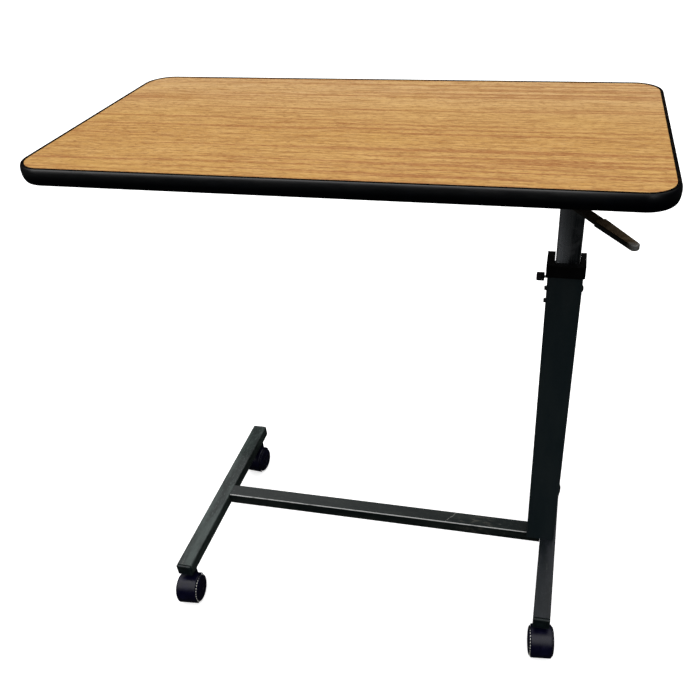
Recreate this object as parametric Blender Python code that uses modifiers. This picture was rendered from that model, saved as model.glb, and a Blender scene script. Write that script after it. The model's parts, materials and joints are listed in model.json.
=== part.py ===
"""Overbed table: a laminated top on a telescopic column, over an H-shaped base on twin-wheel casters."""

import math

import bmesh
import bpy
from mathutils import Matrix, Vector

MM = 0.001
GAP = 0.3 * MM

# Origin: on the floor, midway along the whole footprint. The front casters stand out past the tabletop.
FOOTPRINT_SHIFT_Y = 13 * MM

# Tabletop
TOP_Z = 841 * MM
TOP_LENGTH = 803 * MM
TOP_DEPTH = 403 * MM
TOP_CORNER_R = 41.5 * MM
TOP_THICK = 22.2 * MM
CORNER_STEPS = 8
EDGE_LIP = 6.5 * MM
LAMINATE_THICK = 0.9 * MM
LAMINATE_TOP_Z = TOP_Z - 0.8 * MM
BACKING_THICK = 0.7 * MM
GROOVE_HEIGHT = 2.8 * MM
GROOVE_DEPTH = 9 * MM
TONGUE_LENGTH = 7.5 * MM
TONGUE_THICK = 1.6 * MM
BARB_THICK = 2.2 * MM
# Each point: reach as a share of the lip, drop below the top as a share of the thickness.
MOULDING_CROWN = ((0.97, 0.30), (0.89, 0.17), (0.77, 0.075), (0.58, 0.015), (0.25, 0.0))
SEAM_GAP = 0.3 * MM

# Base
BAR_WIDTH = 28.8 * MM
BAR_HEIGHT = 23.7 * MM
BAR_WALL = 1.5 * MM
BAR_CORNER_R = 2.5 * MM
BAR_TOP_Z = TOP_Z - 754.4 * MM
BAR_HALF_LENGTH = 195 * MM
LEFT_BAR_X = -347.7 * MM
RIGHT_BAR_X = 302.6 * MM
BEAM_Y = 1.5 * MM
PLUG_CAP = 5 * MM
PLUG_SPIGOT = 14 * MM

# Column and mast
COLUMN_X = 288.3 * MM
COLUMN_SIDE = 50 * MM
COLUMN_WALL = 2 * MM
COLUMN_CORNER_R = 3 * MM
COLUMN_TOP_Z = TOP_Z - 203.5 * MM
MAST_X = 289.9 * MM
MAST_SIDE = 34 * MM
MAST_WALL = 1.6 * MM
MAST_CORNER_R = 4 * MM
MAST_FOOT_Z = 195 * MM
COLLAR_WIDTH = 54.8 * MM
COLLAR_HEIGHT = 19.2 * MM
COLLAR_PLAY = 0.9 * MM
COLLAR_CHAMFER = 2 * MM
SLEEVE_FOOT_Z = 566 * MM
GLIDE_LENGTH = 50 * MM

# Channel under the top
CHANNEL_LEFT_X = -190 * MM
CHANNEL_RIGHT_X = 332 * MM
CHANNEL_WIDTH = 60 * MM
CHANNEL_HEIGHT = 20 * MM
CHANNEL_WALL = 2 * MM
SCREW_XS = (-165 * MM, 235 * MM)
SCREW_Y = 20 * MM

# Gas spring
CYLINDER_R = 11 * MM
CYLINDER_TOP_Z = 570 * MM
CYLINDER_FOOT_Z = BAR_TOP_Z + 19.7 * MM
ROD_R = 5 * MM
ROD_FOOT_Z = 215 * MM
BASE_PLUG_THICK = 12 * MM
NUT_THICK = 6.5 * MM

# Release lever
PIVOT_Z = TOP_Z - 94 * MM
PIVOT_Y = -9 * MM
LEVER_BEND_Y = -22.5 * MM
LEVER_TURN = math.radians(33.4)
LEVER_REACH = 140 * MM
LEVER_WIDTH = 15.4 * MM
LEVER_TIP_WIDTH = 10.6 * MM
LEVER_THICK = 4 * MM
RELEASE_DROP = 9 * MM
RELEASE_HEAD = 14 * MM
STRAP_SHORTFALL = 4 * MM
LEVER_BOSS = (12 * MM, 20 * MM, 9 * MM)
GRIP_LENGTH = 79.5 * MM
GRIP_WALL = 1.0 * MM
GRIP_THICK = 8.2 * MM
PIN_R = 1.5 * MM

# Small parts on the column's sides
KNOB_Z = TOP_Z - 217 * MM
KNOB_R = 6.4 * MM
KNOB_LENGTH = 11.6 * MM
KNOB_STAND_OFF = 4.3 * MM
GLIDE_SCREW_ZS = (TOP_Z - 235.7 * MM, TOP_Z - 256.6 * MM)
GLIDE_SCREW_HEAD_R = 3.4 * MM
GLIDE_SCREW_HEAD = 3.6 * MM
RIVET_Z = TOP_Z - 233 * MM
RIVET_R = 5.9 * MM

# Casters
STEM_Y = 178 * MM
TRAIL = 20 * MM
WHEEL_R = 25 * MM
HOOD_R = 28 * MM
HOOD_CAVITY_R = 26 * MM
HOOD_HALF_WIDTH = 18 * MM
WEB_HALF = 3.5 * MM
WHEEL_OUTER_X = 22.7 * MM
NECK_R = 9 * MM
STEM_R = 5 * MM
STEM_TOP_Z = BAR_TOP_Z - 6 * MM
AXLE_R = 3 * MM
CASTERS = (
    ("front_left", LEFT_BAR_X, -STEM_Y, 5),
    ("front_right", RIGHT_BAR_X, -STEM_Y, 6),
    ("rear_left", LEFT_BAR_X, STEM_Y, -5),
    ("rear_right", RIGHT_BAR_X, STEM_Y, -25),
)

ROUND_STEPS = 24
BLACK_PAINT = (0.018, 0.022, 0.022)
BLACK_PLASTIC = (0.012, 0.012, 0.014)
BRIGHT_STEEL = (0.55, 0.56, 0.58)


def clear_scene():
    for obj in list(bpy.data.objects):
        bpy.data.objects.remove(obj, do_unlink=True)


def new_collection(name):
    collection = bpy.data.collections.new(name)
    bpy.context.scene.collection.children.link(collection)
    return collection


def set_material(obj, colour, roughness, metallic):
    material = bpy.data.materials.new(obj.name + "_finish")
    material.use_nodes = True
    shader = material.node_tree.nodes["Principled BSDF"]
    shader.inputs["Base Color"].default_value = (*colour, 1)
    shader.inputs["Roughness"].default_value = roughness
    shader.inputs["Metallic"].default_value = metallic
    obj.data.materials.clear()
    obj.data.materials.append(material)


def add_object(name, mesh, collection, parent=None):
    obj = bpy.data.objects.new(name, mesh)
    collection.objects.link(obj)
    obj.parent = parent
    return obj


def add_empty(name, location, parent=None, turn_z=0.0):
    empty = bpy.data.objects.new(name, None)
    PARTS.objects.link(empty)
    empty.parent = parent
    empty.location = location
    empty.rotation_euler = (0, 0, turn_z)
    return empty


def hide_helper(obj):
    obj.hide_render = True
    obj.display_type = "WIRE"


def rounded_rectangle(width, depth, radius, steps=CORNER_STEPS, centre=(0, 0)):
    """Counter-clockwise outline of a rectangle with round corners."""
    points = []
    for corner, (sx, sy) in enumerate(((1, 1), (-1, 1), (-1, -1), (1, -1))):
        cx = centre[0] + sx * (width / 2 - radius)
        cy = centre[1] + sy * (depth / 2 - radius)
        for step in range(steps + 1):
            angle = math.pi / 2 * (corner + step / steps)
            points.append((cx + radius * math.cos(angle), cy + radius * math.sin(angle)))
    return points


def circle_outline(radius, steps=ROUND_STEPS, centre=(0, 0)):
    turns = [2 * math.pi * (i + 0.5) / steps for i in range(steps)]
    return [(centre[0] + radius * math.cos(a), centre[1] + radius * math.sin(a)) for a in turns]


def outline_mesh(name, loops, low, high):
    """A flat outline, with any holes in it, drawn as a filled 2D curve and extruded from low to high."""
    curve = bpy.data.curves.new(name + "_outline", "CURVE")
    curve.dimensions = "2D"
    curve.fill_mode = "BOTH"
    curve.extrude = (high - low) / 2
    for loop in loops:
        spline = curve.splines.new("POLY")
        spline.points.add(len(loop) - 1)
        for point, (x, y) in zip(spline.points, loop):
            point.co = (x, y, 0, 1)
        spline.use_cyclic_u = True
    guide = add_object(name + "_outline", curve, HELPERS)
    graph = bpy.context.evaluated_depsgraph_get()
    mesh = bpy.data.meshes.new_from_object(guide.evaluated_get(graph))
    bpy.data.objects.remove(guide, do_unlink=True)
    form = bmesh.new()
    form.from_mesh(mesh)
    bmesh.ops.remove_doubles(form, verts=form.verts, dist=1e-6)
    bmesh.ops.recalc_face_normals(form, faces=form.faces)
    bmesh.ops.translate(form, verts=form.verts, vec=(0, 0, (low + high) / 2))
    form.to_mesh(mesh)
    form.free()
    return mesh


def add_prism(name, loops, low, high, parent=None, location=(0, 0, 0), turn=(0, 0, 0), collection=None):
    obj = add_object(name, outline_mesh(name, loops, low, high), collection or PARTS, parent)
    obj.location = location
    obj.rotation_euler = turn
    return obj


def add_box(name, size, centre, parent=None, turn=(0, 0, 0), collection=None):
    form = bmesh.new()
    bmesh.ops.create_cube(form, size=1)
    bmesh.ops.scale(form, vec=size, verts=form.verts)
    mesh = bpy.data.meshes.new(name)
    form.to_mesh(mesh)
    form.free()
    obj = add_object(name, mesh, collection or PARTS, parent)
    obj.location = centre
    obj.rotation_euler = turn
    return obj


def add_cylinder(
    name, radius, low, high, centre, parent=None, turn=(0, 0, 0), steps=ROUND_STEPS, collection=None
):
    """A cylinder along local Z from low to high."""
    form = bmesh.new()
    bmesh.ops.create_cone(
        form,
        cap_ends=True,
        segments=steps,
        radius1=radius,
        radius2=radius,
        depth=high - low,
        matrix=Matrix.Translation((0, 0, (low + high) / 2)) @ Matrix.Rotation(math.pi / steps, 4, "Z"),
    )
    mesh = bpy.data.meshes.new(name)
    form.to_mesh(mesh)
    form.free()
    obj = add_object(name, mesh, collection or PARTS, parent)
    obj.location = centre
    obj.rotation_euler = turn
    return obj


def add_turned(name, profile, location=(0, 0, 0), parent=None, turn=(0, 0, 0), steps=ROUND_STEPS):
    """A solid of revolution about local Z. The profile is (radius, height), down its outer side."""
    mesh = bpy.data.meshes.new(name)
    points = [(radius, 0, height) for radius, height in profile]
    mesh.from_pydata(points, [(i, i + 1) for i in range(len(points) - 1)], [])
    obj = add_object(name, mesh, PARTS, parent)
    obj.location = location
    obj.rotation_euler = turn
    screw = obj.modifiers.new("turn", "SCREW")
    screw.axis = "Z"
    screw.steps = steps
    screw.render_steps = steps
    screw.use_merge_vertices = True
    screw.merge_threshold = 1e-5
    screw.use_smooth_shade = True
    return obj


def add_bevel(obj, width, segments=2, angle=35):
    bevel = obj.modifiers.new("edges", "BEVEL")
    bevel.width = width
    bevel.segments = segments
    bevel.limit_method = "ANGLE"
    bevel.angle_limit = math.radians(angle)
    return bevel


def add_boolean(obj, other, operation="DIFFERENCE"):
    hide_helper(other)
    boolean = obj.modifiers.new(operation.lower(), "BOOLEAN")
    boolean.operation = operation
    boolean.solver = "EXACT"
    boolean.object = other


def cut_hole(obj, radius, low, high, centre, turn=(0, 0, 0), parent=None, steps=16):
    name = f"{obj.name}_hole_{len(obj.modifiers)}"
    cutter = add_cylinder(name, radius, low, high, centre, parent, turn, steps, HELPERS)
    add_boolean(obj, cutter)


def cut_box(obj, size, centre, parent=None, turn=(0, 0, 0)):
    name = f"{obj.name}_slot_{len(obj.modifiers)}"
    add_boolean(obj, add_box(name, size, centre, parent, turn, HELPERS))


ALONG_X = (0, math.pi / 2, 0)
ALONG_Y = (-math.pi / 2, 0, 0)


# Tabletop


def make_wood_laminate(parent):
    outline = rounded_rectangle(TOP_LENGTH - 2 * EDGE_LIP, TOP_DEPTH - 2 * EDGE_LIP, TOP_CORNER_R - EDGE_LIP)
    low = LAMINATE_TOP_Z - LAMINATE_THICK
    top = add_prism("wood_laminate", [outline], low, LAMINATE_TOP_Z, parent)
    set_material(top, (0.52, 0.32, 0.16), 0.45, 0)


def make_tabletop_core(parent):
    inset = EDGE_LIP + GAP
    low = TOP_Z - TOP_THICK + BACKING_THICK + GAP
    high = LAMINATE_TOP_Z - LAMINATE_THICK - GAP
    outline = rounded_rectangle(TOP_LENGTH - 2 * inset, TOP_DEPTH - 2 * inset, TOP_CORNER_R - inset)
    core = add_prism("tabletop_core", [outline], low, high, parent)
    deep = inset + GROOVE_DEPTH
    outside = rounded_rectangle(TOP_LENGTH, TOP_DEPTH, TOP_CORNER_R)
    inside = rounded_rectangle(TOP_LENGTH - 2 * deep, TOP_DEPTH - 2 * deep, TOP_CORNER_R - deep)
    middle = TOP_Z - TOP_THICK / 2
    groove = add_prism(
        "edge_groove",
        [outside, inside],
        middle - GROOVE_HEIGHT / 2,
        middle + GROOVE_HEIGHT / 2,
        parent,
        collection=HELPERS,
    )
    add_boolean(core, groove)
    for x, y in screw_places():
        cut_hole(core, 2.3 * MM, low - MM, low + 15 * MM, (x, y, 0), parent=parent, steps=12)
    set_material(core, (0.42, 0.30, 0.19), 0.85, 0)


def make_backing_sheet(parent):
    inset = EDGE_LIP + GAP
    low = TOP_Z - TOP_THICK
    outline = rounded_rectangle(TOP_LENGTH - 2 * inset, TOP_DEPTH - 2 * inset, TOP_CORNER_R - inset)
    holes = [circle_outline(2.5 * MM, 12, place) for place in screw_places()]
    sheet = add_prism("backing_sheet", [outline, *holes], low, low + BACKING_THICK, parent)
    set_material(sheet, (0.30, 0.19, 0.11), 0.6, 0)


def moulding_profile():
    """Section of the T-moulding: x outwards from the outline's path, y up from the middle of the edge."""
    half = TOP_THICK / 2
    upper = []
    for reach, drop in MOULDING_CROWN:
        upper.append((EDGE_LIP * reach, half - TOP_THICK * drop))
    crown = [(reach, -up) for reach, up in reversed(upper)] + [(EDGE_LIP, 0)] + upper
    tongue = TONGUE_THICK / 2
    barb = BARB_THICK / 2
    back = [
        (SEAM_GAP, half - 0.4 * MM),
        (SEAM_GAP, tongue + SEAM_GAP),
        (0, tongue),
        (-TONGUE_LENGTH * 0.55, tongue),
        (-TONGUE_LENGTH * 0.55, barb),
        (-TONGUE_LENGTH, tongue * 0.6),
        (-TONGUE_LENGTH, -tongue * 0.6),
        (-TONGUE_LENGTH * 0.55, -barb),
        (-TONGUE_LENGTH * 0.55, -tongue),
        (0, -tongue),
        (SEAM_GAP, -tongue - SEAM_GAP),
        (SEAM_GAP, -half + 0.4 * MM),
    ]
    return crown + back


def make_edge_moulding(parent):
    """The moulding's section swept round the tabletop."""
    inset = EDGE_LIP
    path = rounded_rectangle(TOP_LENGTH - 2 * inset, TOP_DEPTH - 2 * inset, TOP_CORNER_R - inset)
    form = bmesh.new()
    section = moulding_profile()
    middle = TOP_Z - TOP_THICK / 2
    rings = []
    for i, (x, y) in enumerate(path):
        corner, step = divmod(i, CORNER_STEPS + 1)
        angle = math.pi / 2 * (corner + step / CORNER_STEPS)
        out = Vector((math.cos(angle), math.sin(angle), 0))
        rings.append([form.verts.new(Vector((x, y, middle + up)) + out * reach) for reach, up in section])
    for i, ring in enumerate(rings):
        other = rings[(i + 1) % len(rings)]
        for j in range(len(section)):
            k = (j + 1) % len(section)
            form.faces.new((ring[j], other[j], other[k], ring[k]))
    bmesh.ops.recalc_face_normals(form, faces=form.faces)
    mesh = bpy.data.meshes.new("edge_moulding")
    form.to_mesh(mesh)
    form.free()
    obj = add_object("edge_moulding", mesh, PARTS, parent)
    set_material(obj, BLACK_PLASTIC, 0.35, 0)


def screw_places():
    return [(x, y) for x in SCREW_XS for y in (-SCREW_Y, SCREW_Y)]


def make_table_screws(parent):
    web_low = TOP_Z - TOP_THICK - GAP - CHANNEL_WALL
    names = ("front_left", "rear_left", "front_right", "rear_right")
    for name, (x, y) in zip(names, screw_places()):
        profile = [
            (0, 17 * MM),
            (0.5 * MM, 17 * MM),
            (2.0 * MM, 14 * MM),
            (2.0 * MM, -GAP),
            (4.6 * MM, -GAP),
            (4.2 * MM, -1.8 * MM),
            (2.5 * MM, -2.6 * MM),
            (0, -2.8 * MM),
        ]
        screw = add_turned(f"table_screw_{name}", profile, (x, y, web_low), parent, steps=12)
        cut_box(screw, (0.9 * MM, 6 * MM, 1.2 * MM), (x, y, web_low - 2.7 * MM), parent)
        cut_box(screw, (6 * MM, 0.9 * MM, 1.2 * MM), (x, y, web_low - 2.7 * MM), parent)
        set_material(screw, BRIGHT_STEEL, 0.3, 1)


def make_support_channel(parent):
    top = TOP_Z - TOP_THICK - GAP
    half = CHANNEL_WIDTH / 2
    wall = CHANNEL_WALL
    section = [
        (0, -half),
        (0, half),
        (CHANNEL_HEIGHT, half),
        (CHANNEL_HEIGHT, half - wall),
        (wall, half - wall),
        (wall, -half + wall),
        (CHANNEL_HEIGHT, -half + wall),
        (CHANNEL_HEIGHT, -half),
    ]
    channel = add_prism(
        "support_channel", [section], CHANNEL_LEFT_X, CHANNEL_RIGHT_X, parent, (0, 0, top), ALONG_X
    )
    for x, y in screw_places():
        cut_hole(channel, 2.5 * MM, top - 2 * wall, top + wall, (x, y, 0), parent=parent, steps=12)
    set_material(channel, BLACK_PAINT, 0.5, 0.2)


def make_mast_gusset(parent):
    """Bent brace plate standing between the mast's left side and the channel's web."""
    right = MAST_X - MAST_SIDE / 2 - GAP
    top = TOP_Z - TOP_THICK - CHANNEL_WALL - 2 * GAP
    outline = [
        (right, top),
        (right - 62 * MM, top),
        (right - 62 * MM, top - 6 * MM),
        (right - 6 * MM, top - 52 * MM),
        (right, top - 52 * MM),
    ]
    gusset = add_prism("mast_gusset", [outline], -1.5 * MM, 1.5 * MM, parent, turn=(math.pi / 2, 0, 0))
    set_material(gusset, BLACK_PAINT, 0.5, 0.2)


# Mast, with the gas spring's rod and the release


def make_inner_mast(parent):
    outer = rounded_rectangle(MAST_SIDE, MAST_SIDE, MAST_CORNER_R, 4)
    bore = MAST_SIDE - 2 * MAST_WALL
    inner = rounded_rectangle(bore, bore, MAST_CORNER_R - MAST_WALL, 4)
    top = TOP_Z - TOP_THICK - CHANNEL_WALL - 2 * GAP
    mast = add_prism("inner_mast", [outer, inner], MAST_FOOT_Z, top, parent, (MAST_X, 0, 0))
    slot = (LEVER_BOSS[0] + 1.2 * MM, 6 * MM, LEVER_BOSS[2] + 1.8 * MM)
    cut_box(mast, slot, (MAST_X, -MAST_SIDE / 2, PIVOT_Z), parent)
    reach = MAST_SIDE
    cut_hole(mast, 2.6 * MM, -reach, reach, (MAST_X, PIVOT_Y, PIVOT_Z), ALONG_X, parent, 12)
    set_material(mast, (0.30, 0.31, 0.33), 0.25, 1)


def make_mast_lower_glide(parent):
    side = COLUMN_SIDE - 2 * COLUMN_WALL - 2 * GAP
    bore = MAST_SIDE + 2 * GAP
    outer = rounded_rectangle(side, side, 1.8 * MM, 3, (COLUMN_X, 0))
    inner = rounded_rectangle(bore, bore, MAST_CORNER_R, 4, (MAST_X, 0))
    low = MAST_FOOT_Z
    glide = add_prism("mast_lower_glide", [outer, inner], low, low + GLIDE_LENGTH - 3 * MM, parent)
    set_material(glide, (0.75, 0.74, 0.70), 0.5, 0)


def make_release_head(parent):
    side = MAST_SIDE - 2 * MAST_WALL - 2 * GAP
    outer = rounded_rectangle(side, side, 2 * MM, 3, (MAST_X, 0))
    bore = circle_outline(4.3 * MM, 16, (MAST_X, 0))
    high = PIVOT_Z - RELEASE_DROP
    head = add_prism("release_head", [outer, bore], high - RELEASE_HEAD, high, parent)
    set_material(head, BRIGHT_STEEL, 0.45, 1)


def make_gas_spring_rod(parent):
    head_low = PIVOT_Z - RELEASE_DROP - RELEASE_HEAD
    tip = PIVOT_Z - RELEASE_DROP
    profile = [
        (0, tip - 30 * MM),
        (PIN_R + GAP, tip - 30 * MM),
        (PIN_R + GAP, tip),
        (4 * MM - 0.5 * MM, tip),
        (4 * MM, tip - 0.8 * MM),
        (4 * MM, head_low - GAP),
        (ROD_R, head_low - GAP),
        (ROD_R, ROD_FOOT_Z),
        (3.5 * MM, ROD_FOOT_Z),
        (3.5 * MM, ROD_FOOT_Z - 12 * MM),
        (0, ROD_FOOT_Z - 12 * MM),
    ]
    rod = add_turned("gas_spring_rod", profile, (MAST_X, 0, 0), parent, steps=16)
    set_material(rod, (0.75, 0.75, 0.77), 0.12, 1)


def make_gas_spring_piston(parent):
    high = ROD_FOOT_Z - GAP
    low = high - 11 * MM
    profile = [
        (3.5 * MM + GAP, high),
        (8.6 * MM, high),
        (9.2 * MM, high - 0.6 * MM),
        (9.2 * MM, low + 0.6 * MM),
        (8.6 * MM, low),
        (3.5 * MM + GAP, low),
        (3.5 * MM + GAP, high),
    ]
    piston = add_turned("gas_spring_piston", profile, (MAST_X, 0, 0), parent, steps=16)
    set_material(piston, (0.15, 0.15, 0.16), 0.4, 0.5)


def make_lever_pivot_pin(parent):
    reach = MAST_SIDE / 2
    profile = [
        (0, reach + 2.6 * MM),
        (3 * MM, reach + 2.4 * MM),
        (4 * MM, reach + 1.2 * MM),
        (4 * MM, reach + GAP),
        (2.2 * MM, reach + GAP),
        (2.2 * MM, -reach - 2.0 * MM),
        (1.6 * MM, -reach - 2.6 * MM),
        (0, -reach - 2.6 * MM),
    ]
    pin = add_turned("lever_pivot_pin", profile, (MAST_X, PIVOT_Y, PIVOT_Z), parent, ALONG_X, 16)
    set_material(pin, BRIGHT_STEEL, 0.3, 1)


def lever_direction():
    return Vector((math.sin(LEVER_TURN), -math.cos(LEVER_TURN), 0))


def strap_outline(start, end, grown=0.0, steps=6):
    """The strap along local X, narrowing from the grip's start to a round tip, grown by a wall."""
    half = LEVER_WIDTH / 2 + grown
    tip = LEVER_TIP_WIDTH / 2 + grown
    shoulder = LEVER_REACH - GRIP_LENGTH
    points = [(start, -half), (shoulder, -half)] if start < shoulder else [(start, -half)]
    for step in range(2 * steps + 1):
        angle = math.pi * (step / (2 * steps) - 0.5)
        points.append((end - tip + tip * math.cos(angle), tip * math.sin(angle)))
    return points + [(x, half) for x, _ in reversed(points) if x <= shoulder]


def make_release_lever(parent):
    """Boss inside the mast, a short strap out of its front, then the long strap turned to the right."""
    aim = math.atan2(lever_direction().y, lever_direction().x)
    bend = (0, LEVER_BEND_Y - PIVOT_Y)
    half = LEVER_THICK / 2
    strap = strap_outline(2 * MM, LEVER_REACH - STRAP_SHORTFALL)
    strap = [
        (
            bend[0] + x * math.cos(aim) - y * math.sin(aim),
            bend[1] + x * math.sin(aim) + y * math.cos(aim),
        )
        for x, y in strap
    ]
    lever = add_prism("release_lever", [strap], -half, half, parent)
    width, depth, height = LEVER_BOSS
    neck_size = (width, 18 * MM, LEVER_THICK + 0.4 * MM)
    neck = add_box("lever_neck", neck_size, (0, bend[1] + 3 * MM, 0), parent, collection=HELPERS)
    add_boolean(lever, neck, "UNION")
    boss = add_box("lever_boss", (width, depth, height), (0, 5.2 * MM, 0), parent, collection=HELPERS)
    add_boolean(lever, boss, "UNION")
    cut_hole(lever, 2.5 * MM, -width, width, (0, 0, 0), ALONG_X, parent, 16)
    set_material(lever, (0.05, 0.05, 0.055), 0.35, 0.6)


def make_lever_grip(parent):
    """Moulded sleeve pushed over the strap's end."""
    aim = math.atan2(lever_direction().y, lever_direction().x)
    start = LEVER_REACH - GRIP_LENGTH
    outline = strap_outline(start, LEVER_REACH, GRIP_WALL)
    half = GRIP_THICK / 2
    place = (0, LEVER_BEND_Y - PIVOT_Y, 0)
    grip = add_prism("lever_grip", [outline], -half, half, parent, place, (0, 0, aim))
    add_bevel(grip, 2.4 * MM, 3, 50)
    inside = strap_outline(start - MM, LEVER_REACH - STRAP_SHORTFALL + GAP, GAP)
    hollow = add_prism(
        "grip_hollow",
        [inside],
        -LEVER_THICK / 2 - GAP,
        LEVER_THICK / 2 + GAP,
        parent,
        place,
        (0, 0, aim),
        HELPERS,
    )
    add_boolean(grip, hollow)
    set_material(grip, BLACK_PLASTIC, 0.3, 0)


def make_release_pin(parent):
    """Origin at the pin's tip, which stands out of the rod."""
    profile = [
        (0, 0),
        (PIN_R * 0.6, -0.25 * MM),
        (PIN_R, -1.0 * MM),
        (PIN_R, -28 * MM),
        (0, -28 * MM),
    ]
    pin = add_turned("release_pin", profile, (0, 0, 0), parent, steps=12)
    set_material(pin, BRIGHT_STEEL, 0.2, 1)


# Column


def make_outer_column(parent):
    outer = rounded_rectangle(COLUMN_SIDE, COLUMN_SIDE, COLUMN_CORNER_R, 4)
    bore = COLUMN_SIDE - 2 * COLUMN_WALL
    inner = rounded_rectangle(bore, bore, COLUMN_CORNER_R - COLUMN_WALL, 2)
    low = BAR_TOP_Z + GAP
    column = add_prism("outer_column", [outer, inner], low, COLUMN_TOP_Z, parent, (COLUMN_X, 0, 0))
    left = COLUMN_X - COLUMN_SIDE / 2
    right = COLUMN_X + COLUMN_SIDE / 2
    for z in (KNOB_Z, *GLIDE_SCREW_ZS):
        cut_hole(column, 2.3 * MM, -4 * MM, 4 * MM, (left, 0, z), ALONG_X, parent, 12)
    cut_hole(column, 2.7 * MM, -4 * MM, 4 * MM, (right, 0, RIVET_Z), ALONG_X, parent, 12)
    set_material(column, BLACK_PAINT, 0.45, 0.2)


def make_column_collar(parent):
    """Moulding on the column's top that holds the mast at its front and sides, open at the back."""
    half = COLLAR_WIDTH / 2
    slot = MAST_SIDE / 2 + COLLAR_PLAY
    mast = MAST_X - COLUMN_X
    back = MAST_SIDE / 2
    outline = [
        (-half, back),
        (-half, -half + COLLAR_CHAMFER),
        (-half + COLLAR_CHAMFER, -half),
        (half - COLLAR_CHAMFER, -half),
        (half, -half + COLLAR_CHAMFER),
        (half, back),
        (mast + slot, back),
        (mast + slot, -slot),
        (mast - slot, -slot),
        (mast - slot, back),
    ]
    low = COLUMN_TOP_Z + GAP
    collar = add_prism("column_collar", [outline], low, low + COLLAR_HEIGHT, parent, (COLUMN_X, 0, 0))
    add_bevel(collar, 0.8 * MM, 2)
    set_material(collar, BLACK_PLASTIC, 0.4, 0)


def make_upper_glide_sleeve(parent):
    """Guide on three sides of the mast. The adjuster pad is its fourth side."""
    reach = COLUMN_SIDE / 2 - COLUMN_WALL - GAP
    slot = MAST_SIDE / 2 + GAP
    right = MAST_X - COLUMN_X + slot
    outline = [
        (-reach, -reach),
        (reach, -reach),
        (reach, reach),
        (-reach, reach),
        (-reach, slot),
        (right, slot),
        (right, -slot),
        (-reach, -slot),
    ]
    sleeve = add_prism(
        "upper_glide_sleeve", [outline], SLEEVE_FOOT_Z, COLUMN_TOP_Z - MM, parent, (COLUMN_X, 0, 0)
    )
    cut_hole(sleeve, 2.7 * MM, 0, 40 * MM, (MAST_X, 0, RIVET_Z), ALONG_X, parent, 12)
    set_material(sleeve, (0.75, 0.74, 0.70), 0.5, 0)


def make_adjuster_glide_pad(parent):
    left = COLUMN_X - COLUMN_SIDE / 2 + COLUMN_WALL + 2 * MM
    right = MAST_X - MAST_SIDE / 2 - GAP
    middle = ((left + right) / 2, 0, (SLEEVE_FOOT_Z + COLUMN_TOP_Z) / 2)
    size = (right - left, MAST_SIDE - 0.4 * MM, COLUMN_TOP_Z - SLEEVE_FOOT_Z - 4 * MM)
    pad = add_box("adjuster_glide_pad", size, middle, parent)
    add_bevel(pad, 0.8 * MM, 1)
    set_material(pad, (0.75, 0.74, 0.70), 0.5, 0)


def make_glide_screws(parent):
    left = COLUMN_X - COLUMN_SIDE / 2
    tip = COLUMN_WALL + 2 * MM - GAP
    for name, z in zip(("upper", "lower"), GLIDE_SCREW_ZS):
        profile = [
            (0, tip),
            (1.7 * MM, tip),
            (2.0 * MM, tip - 0.4 * MM),
            (2.0 * MM, -GAP),
            (GLIDE_SCREW_HEAD_R, -GAP),
            (GLIDE_SCREW_HEAD_R, 0.9 * MM - GLIDE_SCREW_HEAD),
            (2.8 * MM, 0.2 * MM - GLIDE_SCREW_HEAD),
            (0, -GLIDE_SCREW_HEAD),
        ]
        screw = add_turned(f"glide_screw_{name}", profile, (left, 0, z), parent, ALONG_X, 16)
        slot = (4.0 * MM, 9 * MM, 1.4 * MM)
        cut_box(screw, slot, (left - GLIDE_SCREW_HEAD, 0, z), parent)
        set_material(screw, (0.10, 0.10, 0.10), 0.35, 0.8)


def make_sleeve_rivet(parent):
    right = COLUMN_X + COLUMN_SIDE / 2
    profile = [
        (0, 2.8 * MM),
        (2.6 * MM, 2.5 * MM),
        (4.6 * MM, 1.5 * MM),
        (RIVET_R, GAP),
        (2.3 * MM, GAP),
        (2.3 * MM, -5.5 * MM),
        (0, -5.5 * MM),
    ]
    rivet = add_turned("sleeve_rivet", profile, (right, 0, RIVET_Z), parent, ALONG_X, 16)
    set_material(rivet, BLACK_PAINT, 0.4, 0.3)


def make_tension_screw(parent):
    """Origin where the screw passes the column's left face. Local Z points into the column."""
    tip = COLUMN_WALL + 2 * MM - GAP
    profile = [
        (0, tip),
        (1.4 * MM, tip),
        (1.9 * MM, tip - 0.5 * MM),
        (1.9 * MM, -KNOB_STAND_OFF - 7 * MM),
        (0, -KNOB_STAND_OFF - 7 * MM),
    ]
    screw = add_turned("tension_screw", profile, (0, 0, 0), parent, ALONG_X, 16)
    set_material(screw, BRIGHT_STEEL, 0.25, 1)


def make_tension_knob(parent):
    """Knurled knob with a blind hole for its screw."""
    flutes = 12
    points = []
    for i in range(flutes * 4):
        radius = KNOB_R if i % 4 in (0, 1) else KNOB_R - 0.5 * MM
        angle = 2 * math.pi * i / (flutes * 4)
        points.append((radius * math.cos(angle), radius * math.sin(angle)))
    high = -KNOB_STAND_OFF
    low = high - KNOB_LENGTH
    knob = add_prism("tension_knob", [points], low, high, parent, turn=ALONG_X)
    cut_hole(knob, 2.2 * MM, high - 7.4 * MM, high + MM, (0, 0, 0), ALONG_X, parent, 16)
    set_material(knob, BLACK_PLASTIC, 0.4, 0)


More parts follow.
